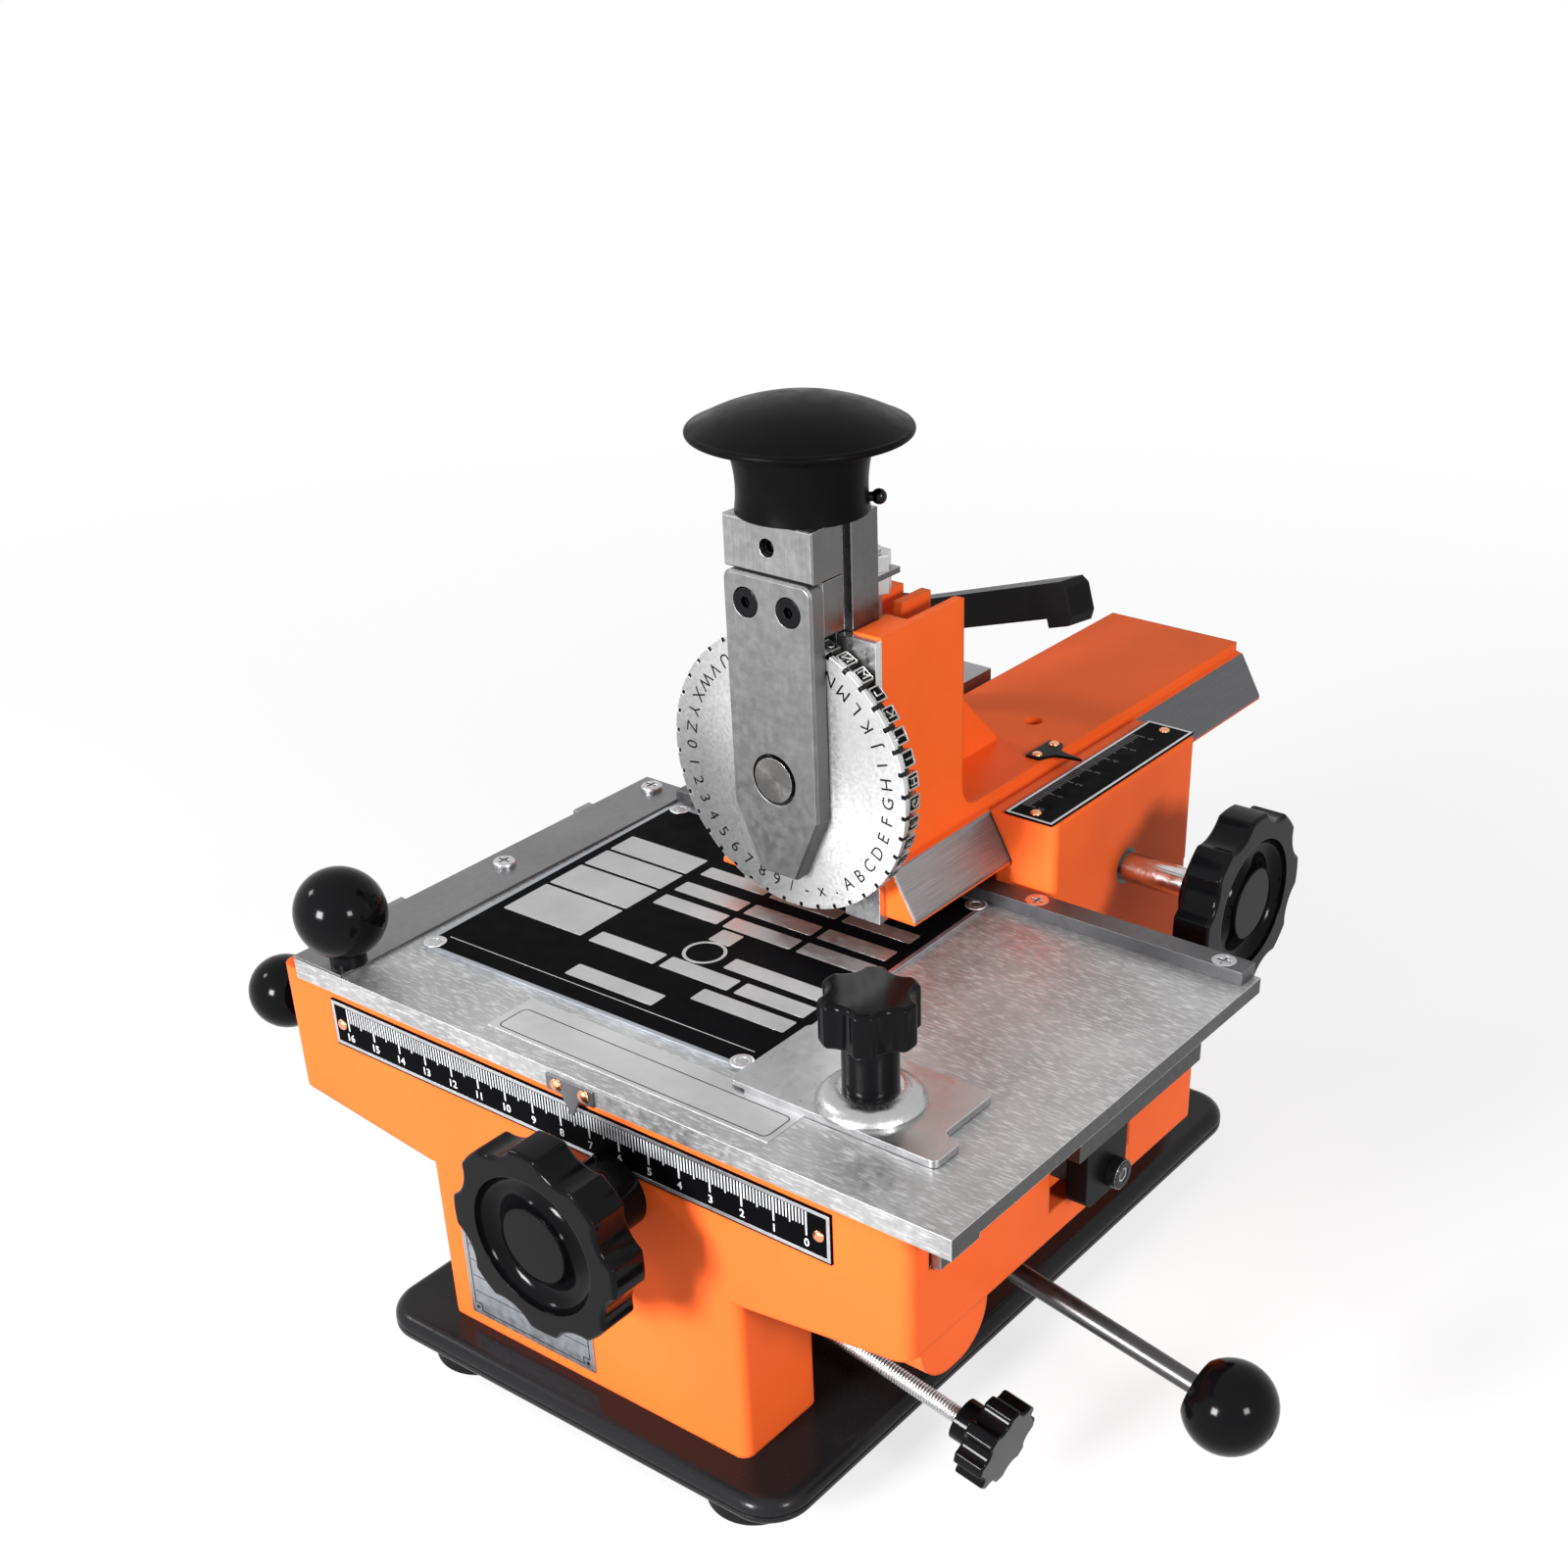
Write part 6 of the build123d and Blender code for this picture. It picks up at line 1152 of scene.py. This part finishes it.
@dataclass(frozen=True)
class Thread:
    """A screwed bar.

    Attributes:
        radius: Its outer radius.
        pitch: The distance between its turns.
        depth: The depth of its thread.
    """

    radius: float
    pitch: float
    depth: float

    def add(self, draft: Draft, at: Matrix, length: float, steps: int = 20, rows: int = 6) -> None:
        """Adds the bar.

        Args:
            draft: The mesh that gets it.
            at: The drawing plane that it stands on.
            length: How long it is.
            steps: Facets round.
            rows: Rows of corners to a turn.
        """
        count = max(2, int(length / self.pitch * rows))
        rings = []
        for index in range(count + 1):
            height = length * index / count
            corners = []
            for step in range(steps):
                phase = (height / self.pitch - step / steps) % 1.0
                radius = self.radius - self.depth * abs(2 * phase - 1)
                corners.append(polar(radius, 2 * math.pi * step / steps))
            rings.append(draft.ring(corners, height, at))
        draft.skin(rings)


@dataclass(frozen=True)
class AdjustingRod:
    """The screwed rod that slopes out through the lug.

    Attributes:
        inner: Its inner end.
        outer: Its outer end.
        radius: Its radius.
    """

    inner: Point = (18.0, 38.0, -59.8)
    outer: Point = (108.7, 38.0, -77.8)
    radius: float = 2.5

    def build(self) -> None:
        """Builds the rod with its thread."""
        low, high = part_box("adjusting_rod")
        along = (Vector(self.outer) - Vector(self.inner)).normalized()
        middle = (low + high) / 2 / METRES + ORIGIN
        length = (high.x - low.x) / METRES / along.x - 2 * self.radius * abs(along.z) / along.x
        start = middle - along * length / 2
        plane = facing(tuple(start), (0, 1, 0), tuple(along.cross(Vector((0, 1, 0)))))
        draft = Draft()
        Thread(self.radius, pitch=0.9, depth=0.36).add(draft, plane, length)
        draft.piece("screwed_rod", "adjuster", "dark_steel", Looks.SCREW, ["adjusting_rod"], 50)


@dataclass(frozen=True)
class Drive:
    """A shaft with a stub-toothed pinion, and the rack that it drives.

    Attributes:
        name: The name of the drive.
        plane: The drawing plane across the shaft's axis, with its origin where the pinion starts.
        shaft: Where the shaft starts and ends along the axis.
        pinion: Where the pinion starts and ends along the axis.
        rack: The limits of the rack along its travel.
        rack_top: The top of the rack above the axis.
        bodies: The bodies of the shaft and the rack.
        nodes: The solids that they stand for.
        pitch_radius: The radius on which the pinion rolls.
        teeth: How many teeth it has.
        shaft_radius: The radius of the shaft.
        tooth: The corners of a tooth of the pinion, as shares of the step and heights over that radius.
        rack_tooth: The corners of a tooth of the rack in the same way.
        clear: The share of a step, and the length, that its last tooth keeps from the rack's end.
    """

    name: str
    plane: Matrix
    shaft: Flat
    pinion: Flat
    rack: Flat
    rack_top: float
    bodies: tuple[str, str]
    nodes: tuple[str, str]
    pitch_radius: float = 9.0
    teeth: int = 36
    shaft_radius: float = 4.5
    tooth: tuple[Flat, ...] = ((-0.36, -0.4), (-0.13, 0.42), (0.13, 0.42), (0.36, -0.4))
    rack_tooth: tuple[Flat, ...] = ((-0.33, 0.72), (-0.17, -0.2), (0.17, -0.2), (0.33, 0.72))
    clear: Flat = (0.4, 0.2)

    def gear(self) -> list[Flat]:
        """Draws the pinion, a tooth pointing straight up.

        Returns:
            Its outline.
        """
        outline = []
        for tooth in range(self.teeth):
            middle = math.pi / 2 + 2 * math.pi * tooth / self.teeth
            for share, rise in self.tooth:
                turn = middle + share * 2 * math.pi / self.teeth
                outline.append(polar(self.pitch_radius + rise, turn))
        return outline

    def build(self) -> None:
        """Builds the shaft with its pinion, and the toothed rack over it."""
        draft = Draft()
        draft.disc(self.shaft_radius, *self.shaft, self.plane, 40)
        draft.prism(self.gear(), *self.pinion, self.plane)
        draft.piece(self.name + "_pinion", self.bodies[0], "machined_steel", Looks.SHAFT, [self.nodes[0]])
        step = 2 * math.pi * self.pitch_radius / self.teeth
        root = self.pitch_radius + self.rack_tooth[0][1]
        start, stop = self.rack
        share_clear, clear = self.clear
        outline = [(start, root)]
        index = math.ceil((start + step) / step)
        while (index + 0.5 + share_clear) * step < stop - clear:
            middle = (index + 0.5) * step
            for share, rise in self.rack_tooth:
                outline.append((middle + share * step, self.pitch_radius + rise))
            index += 1
        outline += [(stop, root), (stop, self.rack_top), (start, self.rack_top)]
        bar = Draft()
        bar.prism(outline, *self.pinion, self.plane)
        bar.piece(
            self.name + "_toothed_rack", self.bodies[1], "machined_steel", Looks.MACHINED, [self.nodes[1]]
        )


@dataclass(frozen=True)
class BracketScrew:
    """The black socket head on the index bracket, over the plain one of the model.

    Attributes:
        seat: The middle of its seat on the bracket.
        radius: Its radius.
        high: How far it stands out.
        bevel: How wide its rim is bevelled.
        socket: Half the width of its socket across the flats.
        floor: The height of the socket's floor.
        steps: How many facets it has round.
    """

    seat: Point = (117.0, 77.5, -11.0)
    radius: float = 4.15
    high: float = 3.4
    bevel: float = 0.4
    socket: float = 1.9
    floor: float = 1.2
    steps: int = 36

    def hexagon(self) -> list[Flat]:
        """Draws the socket.

        Returns:
            Its outline, with as many points as the rim.
        """
        sixth = math.pi / 3
        turns = [2 * math.pi * step / self.steps for step in range(self.steps)]
        return [polar(self.socket / math.cos(turn - sixth * round(turn / sixth)), turn) for turn in turns]

    def build(self) -> None:
        """Builds the head with its six-sided socket."""
        plane = side_plane(self.seat[1], self.seat[2], self.seat[0])
        rim, socket = circle(self.radius, self.steps), self.hexagon()
        edge = circle(self.radius - self.bevel, self.steps)
        rows = (
            (rim, 0.0), (rim, self.high - self.bevel), (edge, self.high), (socket, self.high),
            (socket, self.floor),
        )
        draft = Draft()
        draft.skin([draft.ring(outline, height, plane) for outline, height in rows])
        draft.piece("bracket_screw_head", "table", "dark_steel", Looks.ENAMEL)


@dataclass(frozen=True)
class Lamp:
    """One soft lamp.

    Attributes:
        name: Its name.
        place: Where it hangs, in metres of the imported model's frame.
        aim: The point that it looks at.
        size: The side of its square.
        watts: Its power.
    """

    name: str
    place: Point
    aim: Point
    size: float
    watts: float

    def build(self) -> None:
        """Hangs the lamp."""
        light = bpy.data.lights.new(self.name, "AREA")
        light.shape = "SQUARE"
        light.size = self.size
        light.energy = self.watts
        lamp = bpy.data.objects.new(self.name, light)
        lamp.location = self.place
        ahead = Vector(self.aim) - Vector(self.place)
        lamp.rotation_euler = ahead.to_track_quat("-Z", "Y").to_euler()
        bpy.context.scene.collection.objects.link(lamp)


@dataclass(frozen=True)
class Studio:
    """The camera at the photograph's viewing angle, the pale floor, the white surround and the lamps.

    Attributes:
        eye: Where the camera stands, in metres.
        azimuth: How far it has gone round to the right, in degrees.
        elevation: How far it looks down, in degrees.
        roll: How far it is rolled, in degrees.
        lens: Its focal length on a sensor of 36 mm.
        shift: Its shift to the side and up.
        ambient: How strongly the surround lights the object.
        reach: How far the floor goes on each side.
        pale: How pale the floor is in what it throws on the object, and as the camera sees it.
        fade: How far from the middle the floor starts to fade to white, and where it has faded.
        glow: How much of the floor glows before and after that.
        lamps: The lamps.
    """

    eye: Point = (0.35302, -0.43793, 0.40257)
    azimuth: float = 36.64
    elevation: float = 32.79
    roll: float = 0.61
    lens: float = 48.358
    shift: Flat = (-0.0751, 0.1940)
    ambient: float = 0.36
    reach: float = 8.0
    pale: Flat = (0.35, 0.9)
    fade: Flat = (0.25, 0.9)
    glow: Flat = (0.75, 1.0)
    lamps: Sequence[Lamp] = field(default_factory=lambda: (
        Lamp("front_softbox", (-0.1, -1.45, 0.55), (0.0, -0.05, 0.1), size=0.35, watts=42.0),
        Lamp("left_softbox", (-1.0, -0.6, 0.9), (0.0, -0.05, 0.1), size=0.2, watts=4.0),
        Lamp("right_softbox", (1.2, -0.45, 0.6), (0.0, 0.0, 0.1), size=0.25, watts=10.5),
    ))

    def camera(self) -> None:
        """Sets up the camera."""
        az, el, roll = (math.radians(angle) for angle in (self.azimuth, self.elevation, self.roll))
        ahead = Vector((-math.sin(az) * math.cos(el), math.cos(az) * math.cos(el), -math.sin(el)))
        right = Vector((math.cos(az), math.sin(az), 0))
        down = ahead.cross(right)
        across = right * math.cos(roll) + down * math.sin(roll)
        below = -right * math.sin(roll) + down * math.cos(roll)
        data = bpy.data.cameras.new("camera")
        data.lens, data.sensor_width = self.lens, 36.0
        data.shift_x, data.shift_y = self.shift
        data.clip_start, data.clip_end = 0.01, 50.0
        eye = bpy.data.objects.new("camera", data)
        turn = Matrix((across, -below, -ahead)).transposed()
        eye.matrix_world = Matrix.Translation(self.eye) @ turn.to_4x4()
        bpy.context.scene.collection.objects.link(eye)
        bpy.context.scene.camera = eye

    @staticmethod
    def seen(wiring: Wiring) -> Socket:
        """Tells what the camera sees itself, or in a reflection or through glass.

        Args:
            wiring: The nodes that get it.

        Returns:
            A value that is 1 for that and 0 for the rest.
        """
        rays = wiring.node("LightPath").outputs
        direct = wiring.number("MAXIMUM", rays["Is Camera Ray"], rays["Is Glossy Ray"])
        return wiring.number("MAXIMUM", direct, rays["Is Transmission Ray"])

    def surround(self) -> None:
        """Sets up a white surround that lights the object more softly than it shows."""
        world = bpy.data.worlds.new("surround")
        world.use_nodes = True
        wiring = Wiring(world.node_tree)
        colour, level = wiring.tree.nodes["Background"].inputs[:2]
        wiring.feed(colour, (1, 1, 1, 1))
        wiring.feed(level, wiring.span(self.seen(wiring), self.ambient, 1.0, 0.0, 1.0))
        bpy.context.scene.world = world

    def floor(self) -> None:
        """Lays a pale floor that keeps the object's shadow."""
        mesh = bpy.data.meshes.new("floor")
        corners = rectangle(-self.reach, self.reach, -self.reach, self.reach)
        mesh.from_pydata([(x, y, 0) for x, y in corners], [], [(0, 1, 2, 3)])
        floor = bpy.data.objects.new("floor", mesh)
        material = bpy.data.materials.new("floor")
        material.use_nodes = True
        wiring = Wiring(material.node_tree)
        wiring.tree.nodes.remove(wiring.tree.nodes["Principled BSDF"])
        seen = self.seen(wiring)
        matt = wiring.node("BsdfDiffuse", wiring.span(seen, *self.pale, 0.0, 1.0)).outputs[0]
        white = wiring.node("Emission").outputs[0]
        place = wiring.node("TexCoord").outputs["Object"]
        away = wiring.node("VectorMath", place, operation="LENGTH").outputs["Value"]
        share = wiring.number("MULTIPLY", seen, wiring.span(away, *self.glow, *self.fade))
        mixed = wiring.node("MixShader", share, matt, white).outputs[0]
        wiring.feed(wiring.tree.nodes["Material Output"].inputs[0], mixed)
        mesh.materials.append(material)
        bpy.context.scene.collection.objects.link(floor)

    def build(self) -> None:
        """Builds the studio."""
        self.camera()
        self.surround()
        self.floor()
        for lamp in self.lamps:
            lamp.build()
        bpy.context.scene.view_settings.view_transform = "Standard"


@dataclass(frozen=True)
class Solids:
    """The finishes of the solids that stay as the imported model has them."""

    finishes: dict[Finish, Sequence[str]] = field(default_factory=lambda: {
        Looks.ORANGE: ["body_casting"],
        Looks.ORANGE_HEAD: ["head_casting"],
        Looks.ENAMEL: ["base_plate"],
        Looks.RUBBER: ["rubber_feet"],
        Looks.GLOSS: [
            "front_handwheel", "side_handwheel", "table_knob", "lever_balls", "clamp_star_knob",
            "adjusting_knob", "detent_knob",
        ],
        Looks.SATIN: ["press_knob"],
        Looks.BLACK_PAINT: ["clamp_lever", "index_bracket", "head_pointer"],
        Looks.PRINT: ["front_scale_plate", "head_scale_plate"],
        Looks.PLATE: ["spec_plate", "nameplate_blank"],
        Looks.FOIL: ["blank_label"],
        Looks.TABLE: ["table_plate"],
        Looks.CARRIAGE: ["table_carriage", "index_bar"],
        Looks.STRIP: ["side_strip"],
        Looks.BACK_STRIP: ["back_strip"],
        Looks.ZINC: ["clamp_plate"],
        Looks.WASHER: ["dome_washer"],
        Looks.WAYS: ["way_strips", "gib_bar", "rocker_hub", "rocker_pivot", "index_pawl"],
        Looks.ROD: ["lever_rods"],
        Looks.COVER: ["cover_gibs"],
        Looks.MACHINED: ["ram_slide"],
        Looks.BLOCK: ["ram_block"],
        Looks.BRACKET: ["wheel_bracket"],
        Looks.PIN: ["hub_pin"],
        Looks.DARK: ["ram_screws", "cover_screws", "gib_bolts", "gib_adjusting_screws", "lever_stud"],
        Looks.POINTER: ["table_pointer"],
        Looks.SCREW: ["table_screws", "clamp_stud", "stop_stud", "stop_sleeve"],
        Looks.WIRE: ["return_spring"],
        Looks.BUSH: ["shaft_bushes"],
    })

    def build(self) -> None:
        """Gives every solid its finish."""
        for finish, names in self.finishes.items():
            for name in names:
                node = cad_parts[name]
                if not node.material_slots:
                    node.data.materials.append(None)
                for slot in node.material_slots:
                    slot.link = "OBJECT"
                    slot.material = finish.material()
                LOG.info("%s: dressed in %s", name, finish.name)


def main() -> None:
    """Builds every part of the look in order."""
    logging.basicConfig(level=logging.INFO, format="%(message)s")
    head_scale = facing((46.0, 150.0, 43.0), (0, 1, 0), (-1, 0, 0))
    parts: list[Callable[[], None]] = [
        Studio().build,
        Solids().build,
        Rivets().build,
        Scale(
            "front_scale_marks", front_plane(80.0, 0.0, -0.8), "stand", count=16, step=-1, top=6.9,
            foots=(2.6, 1.75, -0.1), numeral=-2.3, tall=2.3, border=(-166.0, 7.1, -5.5, 8.1),
        ).build,
        # The head scale's marks take the dark grey painted shade of Looks.DIM.
        Scale(
            "head_scale_marks", head_scale, "stand", count=6, step=1, top=6.1, foots=(3.4, 2.6, 1.6),
            numeral=-0.4, tall=2.0, border=(-6.8, 71.8, -8.2, 7.2), width=0.8, marks=Looks.DIM, bold=0.02,
        ).build,
        SpecPlate().build,
        Nameplate().build,
        BlankLabel().build,
        TypeWheel().build,
        AdjustingRod().build,
        Drive(
            "table_drive", front_plane(18.2, -12.0, 9.0), shaft=(-7.0, 34.7), pinion=(-7.0, 0.0),
            rack=(-80.2, 93.8), rack_top=26.0, bodies=("front_wheel", "table"),
            nodes=("front_pinion_shaft", "table_rack"),
        ).build,
        Drive(
            "head_drive", side_plane(184.0, 14.0, 2.0), shaft=(-4.0, 90.1), pinion=(0.0, 10.0),
            rack=(-36.0, 62.0), rack_top=18.2, bodies=("side_wheel", "head"),
            nodes=("side_pinion_shaft", "head_rack"),
        ).build,
        BracketScrew().build,
    ]
    for build in parts:
        build()


if __name__ == "__main__":
    main()
